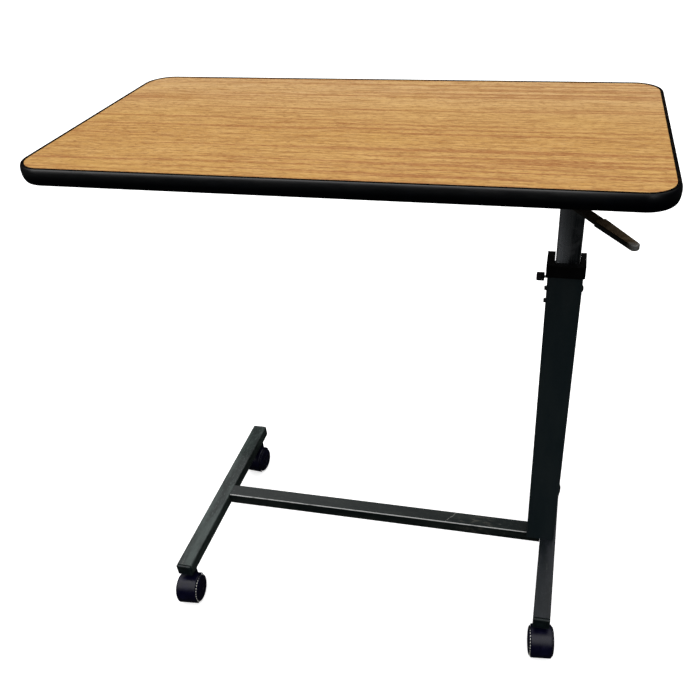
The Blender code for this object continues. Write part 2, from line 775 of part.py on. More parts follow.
def make_gas_spring_cylinder(parent):
    foot = CYLINDER_FOOT_Z
    top = CYLINDER_TOP_Z
    neck = ROD_R + GAP
    stud_foot = BAR_TOP_Z + 2 * GAP
    profile = [
        (0, foot + 5 * MM),
        (9.6 * MM, foot + 5 * MM),
        (9.6 * MM, top - 12 * MM),
        (neck, top - 12 * MM),
        (neck, top),
        (9.6 * MM, top),
        (CYLINDER_R, top - 1.5 * MM),
        (CYLINDER_R, foot + 1.5 * MM),
        (9.6 * MM, foot),
        (4 * MM, foot),
        (4 * MM, stud_foot),
        (0, stud_foot),
    ]
    cylinder = add_turned("gas_spring_cylinder", profile, (MAST_X, 0, 0), parent, steps=16)
    set_material(cylinder, (0.02, 0.02, 0.02), 0.3, 0.4)


def make_gas_spring_lock_nut(parent):
    low = BAR_TOP_Z + GAP + BASE_PLUG_THICK + GAP
    hexagon = circle_outline(7.5 * MM, 6, (MAST_X, 0))
    bore = circle_outline(4.3 * MM, 12, (MAST_X, 0))
    nut = add_prism("gas_spring_lock_nut", [hexagon, bore], low, low + NUT_THICK, parent)
    set_material(nut, BRIGHT_STEEL, 0.35, 1)


def make_column_base_plug(parent):
    side = COLUMN_SIDE - 2 * COLUMN_WALL - 2 * GAP
    outer = rounded_rectangle(side, side, 1.2 * MM, 2, (COLUMN_X, 0))
    bore = circle_outline(4.3 * MM, 12, (MAST_X, 0))
    low = BAR_TOP_Z + GAP
    plug = add_prism("column_base_plug", [outer, bore], low, low + BASE_PLUG_THICK, parent)
    set_material(plug, BLACK_PAINT, 0.5, 0.3)


# Base


def bar_section(width, height):
    outer = rounded_rectangle(width, height, BAR_CORNER_R, 3)
    inner = rounded_rectangle(width - 2 * BAR_WALL, height - 2 * BAR_WALL, BAR_CORNER_R - BAR_WALL, 2)
    return [outer, inner]


def make_foot_bars(parent):
    for side, x in (("left", LEFT_BAR_X), ("right", RIGHT_BAR_X)):
        bar = add_prism(
            f"{side}_foot_bar",
            bar_section(BAR_WIDTH, BAR_HEIGHT),
            -BAR_HALF_LENGTH,
            BAR_HALF_LENGTH,
            parent,
            (x, 0, BAR_TOP_Z - BAR_HEIGHT / 2),
            ALONG_Y,
        )
        under = BAR_TOP_Z - BAR_HEIGHT
        for y in (-STEM_Y, STEM_Y):
            cut_hole(bar, STEM_R + GAP, under - 2 * MM, under + 4 * MM, (x, y, 0), parent=parent, steps=16)
        set_material(bar, BLACK_PAINT, 0.45, 0.2)


def make_cross_beam(parent):
    left = LEFT_BAR_X + BAR_WIDTH / 2 + GAP
    right = RIGHT_BAR_X - BAR_WIDTH / 2 - GAP
    loops = bar_section(BAR_HEIGHT, BAR_WIDTH)
    place = (0, BEAM_Y, BAR_TOP_Z - BAR_HEIGHT / 2)
    beam = add_prism("cross_beam", loops, left, right, parent, place, ALONG_X)
    set_material(beam, BLACK_PAINT, 0.45, 0.2)


def make_end_plugs(parent):
    """Each plug has a cushioned cap and a spigot that goes into the bar."""
    middle_z = BAR_TOP_Z - BAR_HEIGHT / 2
    for side, x in (("left", LEFT_BAR_X), ("right", RIGHT_BAR_X)):
        for end, sign in (("front", -1), ("rear", 1)):
            cap_y = sign * (BAR_HALF_LENGTH + GAP + PLUG_CAP / 2)
            cap_size = (BAR_WIDTH, PLUG_CAP, BAR_HEIGHT)
            plug = add_box(f"end_plug_{end}_{side}", cap_size, (x, cap_y, middle_z), parent)
            add_bevel(plug, 2.8 * MM, 3)
            size = (
                BAR_WIDTH - 2 * BAR_WALL - 2 * GAP,
                PLUG_SPIGOT + 2 * MM,
                BAR_HEIGHT - 2 * BAR_WALL - 2 * GAP,
            )
            spigot_y = sign * (BAR_HALF_LENGTH + GAP + 2 * MM - size[1] / 2)
            spigot = add_box(f"{plug.name}_spigot", size, (x, spigot_y, middle_z), parent, collection=HELPERS)
            add_boolean(plug, spigot, "UNION")
            stem_place = (x, sign * STEM_Y, middle_z)
            cut_hole(plug, STEM_R + 2 * MM, -BAR_HEIGHT, BAR_HEIGHT, stem_place, parent=parent)
            set_material(plug, BLACK_PLASTIC, 0.45, 0)


# Casters


def hood_outline():
    """Side view about the axle: a round cover from low in front, over the top, to behind the stem."""
    first, last, steps = math.radians(-50), math.radians(152), 16
    points = []
    for step in range(steps + 1):
        angle = first + (last - first) * step / steps
        points.append((-HOOD_R * math.cos(angle), HOOD_R * math.sin(angle)))
    points += [(11 * MM, -8 * MM), (-10 * MM, -12 * MM)]
    return points


def make_caster_hood(name, parent):
    under = BAR_TOP_Z - BAR_HEIGHT - GAP
    centre = (0, -TRAIL, WHEEL_R)
    outline = [(-z, y) for y, z in hood_outline()]
    hood = add_prism(name, [outline], -HOOD_HALF_WIDTH, HOOD_HALF_WIDTH, parent, centre, ALONG_X)
    add_bevel(hood, 1.6 * MM, 2, 50)
    low = WHEEL_R + 12 * MM
    neck = add_cylinder(name + "_neck", NECK_R, low, under, (0, 0, 0), parent, collection=HELPERS)
    add_boolean(hood, neck, "UNION")
    for low, high in ((WEB_HALF, HOOD_HALF_WIDTH + MM), (-HOOD_HALF_WIDTH - MM, -WEB_HALF)):
        cut_hole(hood, HOOD_CAVITY_R, low, high, centre, ALONG_X, parent, ROUND_STEPS)
    cut_hole(hood, AXLE_R + GAP, -HOOD_HALF_WIDTH, HOOD_HALF_WIDTH, centre, ALONG_X, parent, 12)
    cut_hole(hood, STEM_R + GAP, under - 9 * MM, under + MM, (0, 0, 0), parent=parent, steps=16)
    set_material(hood, BLACK_PLASTIC, 0.3, 0)


def make_caster_stem(name, parent):
    under = BAR_TOP_Z - BAR_HEIGHT - GAP
    profile = [
        (0, STEM_TOP_Z),
        (3 * MM, STEM_TOP_Z),
        (4.4 * MM, STEM_TOP_Z - 2 * MM),
        (4.4 * MM, STEM_TOP_Z - 4 * MM),
        (3.8 * MM, STEM_TOP_Z - 5 * MM),
        (3.8 * MM, STEM_TOP_Z - 7 * MM),
        (STEM_R, STEM_TOP_Z - 8 * MM),
        (STEM_R, under - 8.6 * MM),
        (0, under - 8.6 * MM),
    ]
    stem = add_turned(name, profile, (0, 0, 0), parent, steps=16)
    set_material(stem, BRIGHT_STEEL, 0.3, 1)


def make_caster_axle(name, parent):
    axle = add_cylinder(name, AXLE_R, -18 * MM, 18 * MM, (0, -TRAIL, WHEEL_R), parent, ALONG_X, 12)
    set_material(axle, BRIGHT_STEEL, 0.3, 1)


def make_caster_wheel(name, parent, side):
    """Origin on the axle. Local Z points out along the axle, away from the hood's web."""
    r = WHEEL_R
    face = WHEEL_OUTER_X
    inner = WEB_HALF + 0.5 * MM
    profile = [
        (0, face),
        (10 * MM, face - 0.4 * MM),
        (18 * MM, face - 1.4 * MM),
        (21.6 * MM, face - 2.4 * MM),
        (22.2 * MM, face - 3.0 * MM),
        (23.6 * MM, face - 3.0 * MM),
        (r, face - 4.2 * MM),
        (r, inner + MM),
        (r - MM, inner),
        (AXLE_R + GAP, inner),
        (AXLE_R + GAP, 18.5 * MM),
        (0, 18.5 * MM),
    ]
    turn = (0, side * math.pi / 2, 0)
    wheel = add_turned(name, profile, (0, 0, 0), parent, turn)
    set_material(wheel, BLACK_PLASTIC, 0.35, 0)


def make_casters(parent):
    for name, x, y, swivel in CASTERS:
        root = add_empty(f"swivel_{name}", (x, y, 0), parent, math.radians(swivel))
        prefix = f"caster_{name}"
        make_caster_hood(prefix + "_hood", root)
        make_caster_stem(prefix + "_stem", root)
        make_caster_axle(prefix + "_axle", root)
        axle = add_empty(f"axle_{name}", (0, -TRAIL, WHEEL_R), root)
        make_caster_wheel(prefix + "_wheel_left", axle, -1)
        make_caster_wheel(prefix + "_wheel_right", axle, 1)


def make_table():
    base = add_empty("overbed_table", (0, FOOTPRINT_SHIFT_Y, 0))
    make_foot_bars(base)
    make_cross_beam(base)
    make_end_plugs(base)
    make_outer_column(base)
    make_column_base_plug(base)
    make_gas_spring_cylinder(base)
    make_gas_spring_lock_nut(base)
    make_column_collar(base)
    make_upper_glide_sleeve(base)
    make_adjuster_glide_pad(base)
    make_glide_screws(base)
    make_sleeve_rivet(base)
    make_wood_laminate(base)
    make_tabletop_core(base)
    make_backing_sheet(base)
    make_edge_moulding(base)
    make_support_channel(base)
    make_mast_gusset(base)
    make_table_screws(base)
    make_inner_mast(base)
    make_mast_lower_glide(base)
    make_release_head(base)
    make_gas_spring_rod(base)
    make_gas_spring_piston(base)
    make_lever_pivot_pin(base)
    pivot = add_empty("lever_pivot", (MAST_X, PIVOT_Y, PIVOT_Z), base)
    make_release_lever(pivot)
    make_lever_grip(pivot)
    make_release_pin(add_empty("pin_tip", (MAST_X, 0, PIVOT_Z - LEVER_BOSS[2] / 2 - GAP), base))
    tension = add_empty("tension_axis", (COLUMN_X - COLUMN_SIDE / 2, 0, KNOB_Z), base)
    make_tension_screw(tension)
    make_tension_knob(tension)
    make_casters(base)


clear_scene()
PARTS = new_collection("overbed_table")
HELPERS = new_collection("cutters_and_guides")
make_table()
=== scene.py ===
"""The overbed table's looks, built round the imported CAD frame. Metres, +Z up, the CAD's own frame."""

import json
import math

import bmesh
import bpy
from mathutils import Matrix, Vector

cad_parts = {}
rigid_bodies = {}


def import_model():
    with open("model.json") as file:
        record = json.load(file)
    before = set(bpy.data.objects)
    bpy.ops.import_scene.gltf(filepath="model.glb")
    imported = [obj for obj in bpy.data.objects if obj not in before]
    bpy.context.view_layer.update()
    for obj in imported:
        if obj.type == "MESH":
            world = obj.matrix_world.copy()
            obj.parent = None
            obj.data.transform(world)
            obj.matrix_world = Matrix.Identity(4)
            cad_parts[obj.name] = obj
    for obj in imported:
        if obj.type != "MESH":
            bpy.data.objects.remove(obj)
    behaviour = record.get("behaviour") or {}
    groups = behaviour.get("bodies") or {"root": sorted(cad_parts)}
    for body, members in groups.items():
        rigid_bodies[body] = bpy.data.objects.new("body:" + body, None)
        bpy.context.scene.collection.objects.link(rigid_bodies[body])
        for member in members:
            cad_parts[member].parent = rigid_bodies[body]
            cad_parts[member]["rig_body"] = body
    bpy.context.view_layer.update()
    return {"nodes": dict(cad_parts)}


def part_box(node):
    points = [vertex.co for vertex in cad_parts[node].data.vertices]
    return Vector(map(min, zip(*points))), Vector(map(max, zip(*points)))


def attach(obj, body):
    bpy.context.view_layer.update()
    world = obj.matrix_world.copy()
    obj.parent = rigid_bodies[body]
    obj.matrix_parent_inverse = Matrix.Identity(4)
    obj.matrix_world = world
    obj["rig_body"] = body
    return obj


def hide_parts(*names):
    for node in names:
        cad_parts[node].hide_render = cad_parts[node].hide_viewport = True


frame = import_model()
NODES = frame["nodes"]
MM = 0.001


# Geometry helpers


def link(name, mesh):
    obj = bpy.data.objects.new(name, mesh)
    bpy.context.scene.collection.objects.link(obj)
    return obj


def mesh_object(name, points, faces, matrix=None):
    mesh = bpy.data.meshes.new(name)
    mesh.from_pydata([tuple(p) for p in points], [], faces)
    if matrix is not None:
        mesh.transform(matrix)
    bm = bmesh.new()
    bm.from_mesh(mesh)
    bmesh.ops.recalc_face_normals(bm, faces=bm.faces)
    bm.to_mesh(mesh)
    bm.free()
    return link(name, mesh)


def baked(obj):
    """Applies the object's modifiers to its mesh."""
    bpy.context.view_layer.update()
    graph = bpy.context.evaluated_depsgraph_get()
    mesh = bpy.data.meshes.new_from_object(obj.evaluated_get(graph))
    obj.modifiers.clear()
    old = obj.data
    obj.data = mesh
    bpy.data.meshes.remove(old)
    return obj


def soften(obj, width, segments, angle):
    """Rounds the edges where the surface turns by more than the angle, in degrees."""
    bevel = obj.modifiers.new("edges", "BEVEL")
    bevel.width = width
    bevel.segments = segments
    bevel.limit_method = "ANGLE"
    bevel.angle_limit = math.radians(angle)
    return baked(obj)


def combine(obj, other, operation):
    """Joins the other closed shape to the object, or cuts it out."""
    change = obj.modifiers.new(operation, "BOOLEAN")
    change.operation = operation
    change.solver = "MANIFOLD"
    change.object = other
    baked(obj)
    bpy.data.objects.remove(other)
    return obj


def shade(obj, angle):
    """Smooth faces, crisp where the surface turns by more than the angle, in degrees."""
    bm = bmesh.new()
    bm.from_mesh(obj.data)
    limit = math.radians(angle)
    for face in bm.faces:
        face.smooth = True
    for edge in bm.edges:
        edge.smooth = len(edge.link_faces) == 2 and edge.calc_face_angle(0) < limit
    bm.to_mesh(obj.data)
    bm.free()
    weighted = obj.modifiers.new("flat faces stay flat", "WEIGHTED_NORMAL")
    weighted.mode = "FACE_AREA"
    weighted.weight = 50
    weighted.keep_sharp = True
    return obj


# Each corner of a rounded rectangle: which side of the middle it is on, and the angle its arc starts at.
CORNERS = ((1, 1, 0), (-1, 1, 90), (-1, -1, 180), (1, -1, 270))


def rounded_rectangle(half_x, half_y, radius, steps):
    points = []
    for sx, sy, start in CORNERS:
        cx, cy = sx * (half_x - radius), sy * (half_y - radius)
        for step in range(steps + 1):
            a = math.radians(start + 90 * step / steps)
            points.append((cx + radius * math.cos(a), cy + radius * math.sin(a)))
    return points


def prism(name, outline, low, high, matrix=None):
    """A flat outline of (x, y) points, raised from low to high along Z."""
    count = len(outline)
    points = [(x, y, low) for x, y in outline] + [(x, y, high) for x, y in outline]
    faces = [list(range(count))[::-1], list(range(count, 2 * count))]
    for i in range(count):
        j = (i + 1) % count
        faces.append((i, j, count + j, count + i))
    return mesh_object(name, points, faces, matrix)


def turned(name, profile, steps, matrix=None):
    """A profile of (radius, height) points turned about Z. Points of zero radius close the ends."""
    points, rings, faces = [], [], []
    for radius, height in profile:
        if radius < 1e-9:
            rings.append([len(points)])
            points.append((0, 0, height))
            continue
        rings.append(list(range(len(points), len(points) + steps)))
        for step in range(steps):
            a = 2 * math.pi * step / steps
            points.append((radius * math.cos(a), radius * math.sin(a), height))
    for lower, upper in zip(rings, rings[1:]):
        for step in range(steps):
            after = (step + 1) % steps
            if len(lower) == 1:
                faces.append((lower[0], upper[after], upper[step]))
            elif len(upper) == 1:
                faces.append((lower[step], lower[after], upper[0]))
            else:
                faces.append((lower[step], lower[after], upper[after], upper[step]))
    return mesh_object(name, points, faces, matrix)


def arc(centre_r, centre_z, radius, start, end, steps):
    """Points of a quarter or other arc in a turned profile, angles in degrees from the radial direction."""
    points = []
    for step in range(steps + 1):
        a = math.radians(start + (end - start) * step / steps)
        points.append((centre_r + radius * math.cos(a), centre_z + radius * math.sin(a)))
    return points


def joined(objects):
    """Joins closed shells into the first object, keeping each one's material."""
    first = objects[0]
    bm = bmesh.new()
    materials = []
    for obj in objects:
        material = obj.data.materials[0]
        if material not in materials:
            materials.append(material)
        before = len(bm.faces)
        bm.from_mesh(obj.data)
        bm.faces.ensure_lookup_table()
        for face in bm.faces[before:]:
            face.material_index = materials.index(material)
    mesh = bpy.data.meshes.new(first.name)
    bm.to_mesh(mesh)
    bm.free()
    for material in materials:
        mesh.materials.append(material)
    for obj in objects[1:]:
        bpy.data.objects.remove(obj)
    first.data = mesh
    return first


def paint(obj, material):
    """Gives the object this one material."""
    obj.data.materials.clear()
    obj.data.materials.append(material)
    return obj


def centre_of(node):
    low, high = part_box(node)
    return (low + high) / 2


def stands_for(obj, node):
    """Puts a detailed piece in the place of its plain CAD node, on the same body."""
    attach(obj, NODES[node]["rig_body"])
    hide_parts(node)
    return obj


# Material helpers


# The shader's socket for each keyword of Surface.set.
SOCKETS = {
    "color": "Base Color",
    "rough": "Roughness",
    "metal": "Metallic",
    "specular": "Specular IOR Level",
}


class Surface:
    """A node material whose textures are read in the object's own space, in metres."""

    def __init__(self, name):
        self.material = bpy.data.materials.new(name)
        self.material.use_nodes = True
        self.tree = self.material.node_tree
        self.shader = self.tree.nodes["Principled BSDF"]
        self.place = self.node("ShaderNodeTexCoord").outputs["Object"]

    def node(self, kind, **settings):
        """A new shader node of this kind, with these settings."""
        made = self.tree.nodes.new(kind)
        for key, value in settings.items():
            setattr(made, key, value)
        return made

    def wire(self, value, socket):
        """Links another node's output to the socket, or sets the socket to a plain value."""
        if isinstance(value, bpy.types.NodeSocket):
            self.tree.links.new(value, socket)
        else:
            socket.default_value = value

    def scaled(self, scale, source=None, offset=(0, 0, 0)):
        """The place, or another source, stretched by scale along X, Y and Z and then moved by offset."""
        made = self.node("ShaderNodeMapping")
        self.wire(source or self.place, made.inputs["Vector"])
        made.inputs["Scale"].default_value = scale
        made.inputs["Location"].default_value = offset
        return made.outputs[0]

    def noise(self, scale, detail=4.0, rough=0.55, source=None, distortion=0.0, offset=(0, 0, 0)):
        """Soft noise from 0 to 1, with scale in cycles per metre along X, Y and Z."""
        if not isinstance(scale, tuple):
            scale = (scale, scale, scale)
        made = self.node("ShaderNodeTexNoise")
        self.wire(self.scaled(scale, source, offset), made.inputs["Vector"])
        made.inputs["Scale"].default_value = 1.0
        made.inputs["Detail"].default_value = detail
        made.inputs["Roughness"].default_value = rough
        made.inputs["Distortion"].default_value = distortion
        return made.outputs["Fac"]

    def math(self, operation, a, b=0.0, c=0.0, clamp=False):
        made = self.node("ShaderNodeMath", operation=operation, use_clamp=clamp)
        self.wire(a, made.inputs[0])
        self.wire(b, made.inputs[1])
        if len(made.inputs) > 2:
            self.wire(c, made.inputs[2])
        return made.outputs[0]

    def span(self, value, low, high, out_low=0.0, out_high=1.0):
        """Value moved from low..high to out_low..out_high, held at the ends, with soft shoulders."""
        made = self.node("ShaderNodeMapRange", interpolation_type="SMOOTHSTEP")
        self.wire(value, made.inputs["Value"])
        made.inputs["From Min"].default_value = low
        made.inputs["From Max"].default_value = high
        made.inputs["To Min"].default_value = out_low
        made.inputs["To Max"].default_value = out_high
        return made.outputs[0]

    def mix(self, factor, a, b):
        """From colour a at factor 0 to colour b at factor 1."""
        made = self.node("ShaderNodeMix", data_type="RGBA")
        self.wire(factor, made.inputs[0])
        self.wire(a if isinstance(a, bpy.types.NodeSocket) else (*a, 1), made.inputs[6])
        self.wire(b if isinstance(b, bpy.types.NodeSocket) else (*b, 1), made.inputs[7])
        return made.outputs[2]

    def axes(self):
        """The place's X, Y and Z."""
        made = self.node("ShaderNodeSeparateXYZ")
        self.wire(self.place, made.inputs[0])
        return made.outputs

    def moved_along_y(self, amount):
        """The place, shifted by a value along Y."""
        shift = self.node("ShaderNodeCombineXYZ")
        self.wire(amount, shift.inputs[1])
        made = self.node("ShaderNodeVectorMath", operation="ADD")
        self.wire(self.place, made.inputs[0])
        self.wire(shift.outputs[0], made.inputs[1])
        return made.outputs[0]

    def bump(self, height, distance, strength):
        """Raises the surface by distance, in metres, where height is 1."""
        made = self.node("ShaderNodeBump")
        made.inputs["Distance"].default_value = distance
        made.inputs["Strength"].default_value = strength
        self.wire(height, made.inputs["Height"])
        self.wire(made.outputs[0], self.shader.inputs["Normal"])

    def set(self, **values):
        """Wires or sets the shader's own sockets."""
        for key, value in values.items():
            self.wire(value, self.shader.inputs[SOCKETS[key]])


# Materials


def wood_laminate():
    """Printed oak-look laminate, with its grain along X, and painted lighter towards the back as a painted
    sheen.

    It has thin reddish lines, short dark dashes, pores, pale fibre and soft bands.
    """
    s = Surface("wood_grain_laminate")
    waver = s.math("MULTIPLY_ADD", s.noise((2.6, 7, 1), 2, 0.5), 0.016, -0.008)
    ripple = s.math("MULTIPLY_ADD", s.noise((24, 60, 1), 2, 0.5), 0.0036, -0.0018)
    place = s.moved_along_y(s.math("ADD", waver, ripple))
    bands = s.noise((0.7, 11, 1), 2, 0.5, place)
    grain = s.noise((7, 170, 1), 3, 0.6, place, offset=(3.1, 1.7, 0))
    lines = s.noise((1.3, 118, 1), 2, 0.5, place, offset=(7.3, 4.1, 0))
    dashes = s.noise((21, 235, 1), 3, 0.6, place, offset=(1.9, 8.8, 0))
    pores = s.span(s.noise((105, 380, 1), 3, 0.65, place, offset=(5.2, 2.2, 0)), 0.50, 0.64)
    pale = s.noise((22, 250, 1), 3, 0.6, place, offset=(4.4, 6.1, 0))
    fibre = s.noise((120, 620, 1), 3, 0.7, place)
    patches = s.noise((3.5, 9, 1), 2, 0.5, offset=(9.1, 3.3, 0))
    low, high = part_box("wood_laminate")
    # Painted sheen: towards the back the sheet's colour is lifted to a paler tone, standing in for the sky's
    # reflection there.
    painted_back_sheen = s.span(s.axes()[1], low.y + 0.15, high.y)
    colour = s.mix(s.span(bands, 0.3, 0.7), (0.560, 0.300, 0.082), (0.612, 0.350, 0.106))
    colour = s.mix(s.math("MULTIPLY", painted_back_sheen, 0.80), colour, (0.700, 0.455, 0.225))
    colour = s.mix(s.span(grain, 0.38, 0.64, 0.0, 0.38), colour, (0.430, 0.195, 0.050))
    colour = s.mix(s.span(pale, 0.49, 0.60, 0.0, 0.52), colour, (0.735, 0.450, 0.165))
    colour = s.mix(s.span(dashes, 0.51, 0.60, 0.0, 0.66), colour, (0.315, 0.120, 0.026))
    colour = s.mix(s.span(lines, 0.53, 0.60, 0.0, 0.66), colour, (0.330, 0.102, 0.026))
    colour = s.mix(s.math("MULTIPLY", pores, 0.62), colour, (0.280, 0.100, 0.022))
    colour = s.mix(s.span(fibre, 0.42, 0.62, 0.0, 0.34), colour, (0.745, 0.468, 0.170))
    colour = s.mix(s.span(patches, 0.54, 0.8, 0.0, 0.24), colour, (0.620, 0.380, 0.070))
    rough = s.span(s.math("ADD", s.math("MULTIPLY", pores, 0.5), fibre), 0.3, 1.1, 0.36, 0.48)
    s.set(color=colour, rough=rough, specular=0.30)
    s.bump(s.math("MULTIPLY_ADD", pores, -1.0, fibre), 0.00006, 0.6)
    return s.material


def raw_board():
    """Pressed chips and resin."""
    s = Surface("particle_board")
    chips = s.node("ShaderNodeTexVoronoi", feature="F1")
    s.wire(s.scaled((260, 260, 420)), chips.inputs["Vector"])
    chips.inputs["Scale"].default_value = 1.0
    tone = s.node("ShaderNodeSeparateColor")
    s.wire(chips.outputs["Color"], tone.inputs[0])
    colour = s.mix(tone.outputs[0], (0.36, 0.23, 0.12), (0.58, 0.42, 0.25))
    colour = s.mix(s.span(s.noise(900, 3), 0.5, 0.8, 0, 0.5), colour, (0.20, 0.12, 0.06))
    s.set(color=colour, rough=0.85, specular=0.2)
    s.bump(chips.outputs["Distance"], 0.0003, 0.6)
    return s.material


def backing_sheet():
    """Brown balancing sheet with a faint printed grain."""
    s = Surface("backing_laminate")
    grain = s.noise((6, 120, 1), 4, 0.6)
    mottle = s.noise(18, 3, 0.5)
    colour = s.mix(s.span(grain, 0.3, 0.7), (0.215, 0.105, 0.048), (0.300, 0.160, 0.078))
    colour = s.mix(s.span(mottle, 0.45, 0.75, 0, 0.35), colour, (0.180, 0.085, 0.038))
    s.set(color=colour, rough=s.span(mottle, 0.3, 0.7, 0.42, 0.56), specular=0.4)
    s.bump(grain, 0.00005, 0.5)
    return s.material


def edge_pvc():
    """Black extruded moulding: satin, shiniest on its shoulder, with faint draw lines and a little dust."""
    s = Surface("black_pvc")
    dust = s.noise(34, 5, 0.6)
    fine = s.noise(1400, 2, 0.6)
    colour = s.mix(s.span(dust, 0.48, 0.75), (0.0003, 0.0006, 0.0014), (0.0010, 0.0016, 0.0034))
    rough = s.span(s.noise((40, 40, 300), 3, 0.6), 0.3, 0.7, 0.34, 0.43)
    low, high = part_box("edge_moulding")
    axes = s.axes()
    shoulder = s.span(axes[2], low.z + 7 * MM, high.z - 1 * MM, 0.08, 1.0)
    dull_end = s.span(axes[0], high.x - 130 * MM, high.x - 35 * MM, 1.0, 0.30)
    s.set(color=colour, rough=rough, specular=s.math("MULTIPLY", shoulder, dull_end))
    s.bump(s.math("MULTIPLY_ADD", s.noise((3, 3, 900), 2), 0.7, fine), 0.00004, 0.55)
    return s.material


def edge_seam():
    """The inner flank of the moulding's lip, beside the sheet: matte, with no sheen, and mottled a little
    brown.
    """
    s = Surface("black_pvc_seam")
    seam_mottle = s.noise((140, 140, 60), 4, 0.65)
    colour = s.mix(s.span(seam_mottle, 0.42, 0.70), (0.0030, 0.0028, 0.0030), (0.0150, 0.0110, 0.0080))
    s.set(color=colour, rough=s.span(seam_mottle, 0.3, 0.7, 0.70, 0.85), specular=0.0)
    s.bump(s.noise(900, 2, 0.6), 0.00005, 0.5)
    return s.material


def edge_distance(s, low, high, across):
    """How far a point on a bar is from the bar's nearest long edge. across is the bar's two short axes."""
    axes = s.axes()
    found = []
    for axis in across:
        middle, half = (low[axis] + high[axis]) / 2, (high[axis] - low[axis]) / 2
        offset = s.math("ABSOLUTE", s.math("SUBTRACT", axes[axis], middle))
        found.append(s.math("SUBTRACT", half, offset))
    return s.math("MAXIMUM", found[0], found[1])


# The beam's worst mark: a slanted gouge across its top, and the middle of a smudge that lies past it.
GOUGE_LEAN = 0.7
GOUGE_WANDER = 6 * MM
SMUDGE_PAST_GOUGE = 45 * MM
# How strong each mark is on a piece whose scuffs are 1.
CLOUD_STRENGTH = 0.60
SPECK_STRENGTH = 0.55
SCRATCH_STRENGTH = 0.6


def gouged(s, colour, along, patch, low, high):
    """Adds a gouge across a bar's top at the place called patch, and a faint smudge just past it."""
    axes = s.axes()
    past = s.math("SUBTRACT", axes[along], patch)
    slant = s.math("MULTIPLY", s.math("SUBTRACT", axes[1], (low.y + high.y) / 2), GOUGE_LEAN)
    wander = s.math("MULTIPLY_ADD", s.noise(90, 2), GOUGE_WANDER, -GOUGE_WANDER / 2)
    gap = s.math("ABSOLUTE", s.math("ADD", s.math("SUBTRACT", past, slant), wander))
    gouge = s.math("MULTIPLY", s.span(gap, 0.4 * MM, 1.6 * MM, 1.0, 0.0), s.span(s.noise(160, 2), 0.34, 0.5))
    gouge = s.math("MULTIPLY", gouge, s.span(axes[2], high.z - 2 * MM, high.z - 1 * MM))
    from_smudge = s.math("ABSOLUTE", s.math("SUBTRACT", past, SMUDGE_PAST_GOUGE))
    near = s.span(from_smudge, 20 * MM, 45 * MM, 1.0, 0.0)
    smudge = s.math("MULTIPLY", near, s.span(s.noise((70, 160, 100), 4, 0.65), 0.48, 0.66))
    colour = s.mix(s.math("MULTIPLY", smudge, 0.45), colour, (0.110, 0.106, 0.090))
    return s.mix(s.math("MULTIPLY", gouge, 0.8), colour, (0.240, 0.240, 0.225))


def painted_front_edge_highlight(s, colour, distance, broken, middle):
    """A painted highlight along a bar's top front edge, where distance from the edge is small."""
    axes = s.axes()
    facing = s.span(axes[1], middle.y - 4 * MM, middle.y, 1.0, 0.0)
    front = s.math("MULTIPLY", facing, s.span(axes[2], middle.z, middle.z + 4 * MM))
    close = s.span(distance, 0.9 * MM, 1.9 * MM, 1.0, 0.0)
    painted_edge_highlight = s.math("MULTIPLY", close, s.span(broken, 0.34, 0.46, 0.35, 1.0))
    return s.mix(s.math("MULTIPLY", painted_edge_highlight, front), colour, (0.74, 0.75, 0.74))


def stretched(along, lengthwise, crosswise):
    """Noise scales for marks that are drawn out along a piece's long axis."""
    return tuple(lengthwise if axis == along else crosswise for axis in range(3))


def powder_coat(
    name, node, along, base=(0.0050, 0.0092, 0.0094), worn=(0.036, 0.044, 0.042), wear=0.3, scuffs=0.6,
    painted_front_highlight=False, patch=None, shine=None,
):
    """Semi-gloss black paint: orange peel, cloudy handling marks, hairline scratches and rubbed long edges.

    along is the piece's long axis, and patch is where along it a gouge lies. shine says where along the
    piece its shine starts and stops changing, and what it changes from and to.
    """
    s = Surface(name)
    low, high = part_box(node)
    across = [axis for axis in range(3) if axis != along]
    cloud = s.noise(stretched(along, 7, 34), 6, 0.66)
    speck = s.noise(stretched(along, 170, 330), 4, 0.75)
    colour = s.mix(s.span(cloud, 0.40, 0.66, 0, min(1.0, CLOUD_STRENGTH * scuffs)), base, worn)
    colour = s.mix(s.span(speck, 0.52, 0.66, 0, min(1.0, SPECK_STRENGTH * scuffs)), colour, worn)
    hair = s.noise(stretched(along, 30, 520), 2, 0.5, distortion=1.2)
    places = s.span(s.noise(16, 2), 0.52, 0.62)
    if patch is not None:
        colour = gouged(s, colour, along, patch, low, high)
    scratches = s.math("MULTIPLY", s.span(hair, 0.66, 0.72), places)
    marked = s.math("MULTIPLY", scratches, min(1.0, SCRATCH_STRENGTH * scuffs))
    colour = s.mix(marked, colour, (0.17, 0.175, 0.165))
    distance = edge_distance(s, low, high, across)
    broken = s.noise(stretched(along, 48, 300), 4, 0.6)
    edge = s.math("MULTIPLY", s.span(distance, 0.2 * MM, 2.0 * MM, 1.0, 0.0), s.span(broken, 0.36, 0.56))
    colour = s.mix(s.math("MULTIPLY", edge, wear, clamp=True), colour, (0.085, 0.092, 0.090))
    # Painted highlight along the top front edge, on the pieces that ask for it.
    if painted_front_highlight:
        colour = painted_front_edge_highlight(s, colour, distance, broken, (low + high) / 2)
    rough = s.span(cloud, 0.3, 0.75, 0.30, 0.50)
    rough = s.math("ADD", rough, s.math("MULTIPLY", scratches, 0.15))
    specular = 0.42
    if shine is not None:
        specular = s.span(s.math("MULTIPLY_ADD", s.noise(22, 3), 0.06, s.axes()[along]), *shine)
    s.set(color=colour, rough=rough, specular=specular)
    s.bump(s.math("MULTIPLY_ADD", scratches, -0.8, s.noise(620, 2, 0.5)), 0.08 * MM, 0.55)
    return s.material


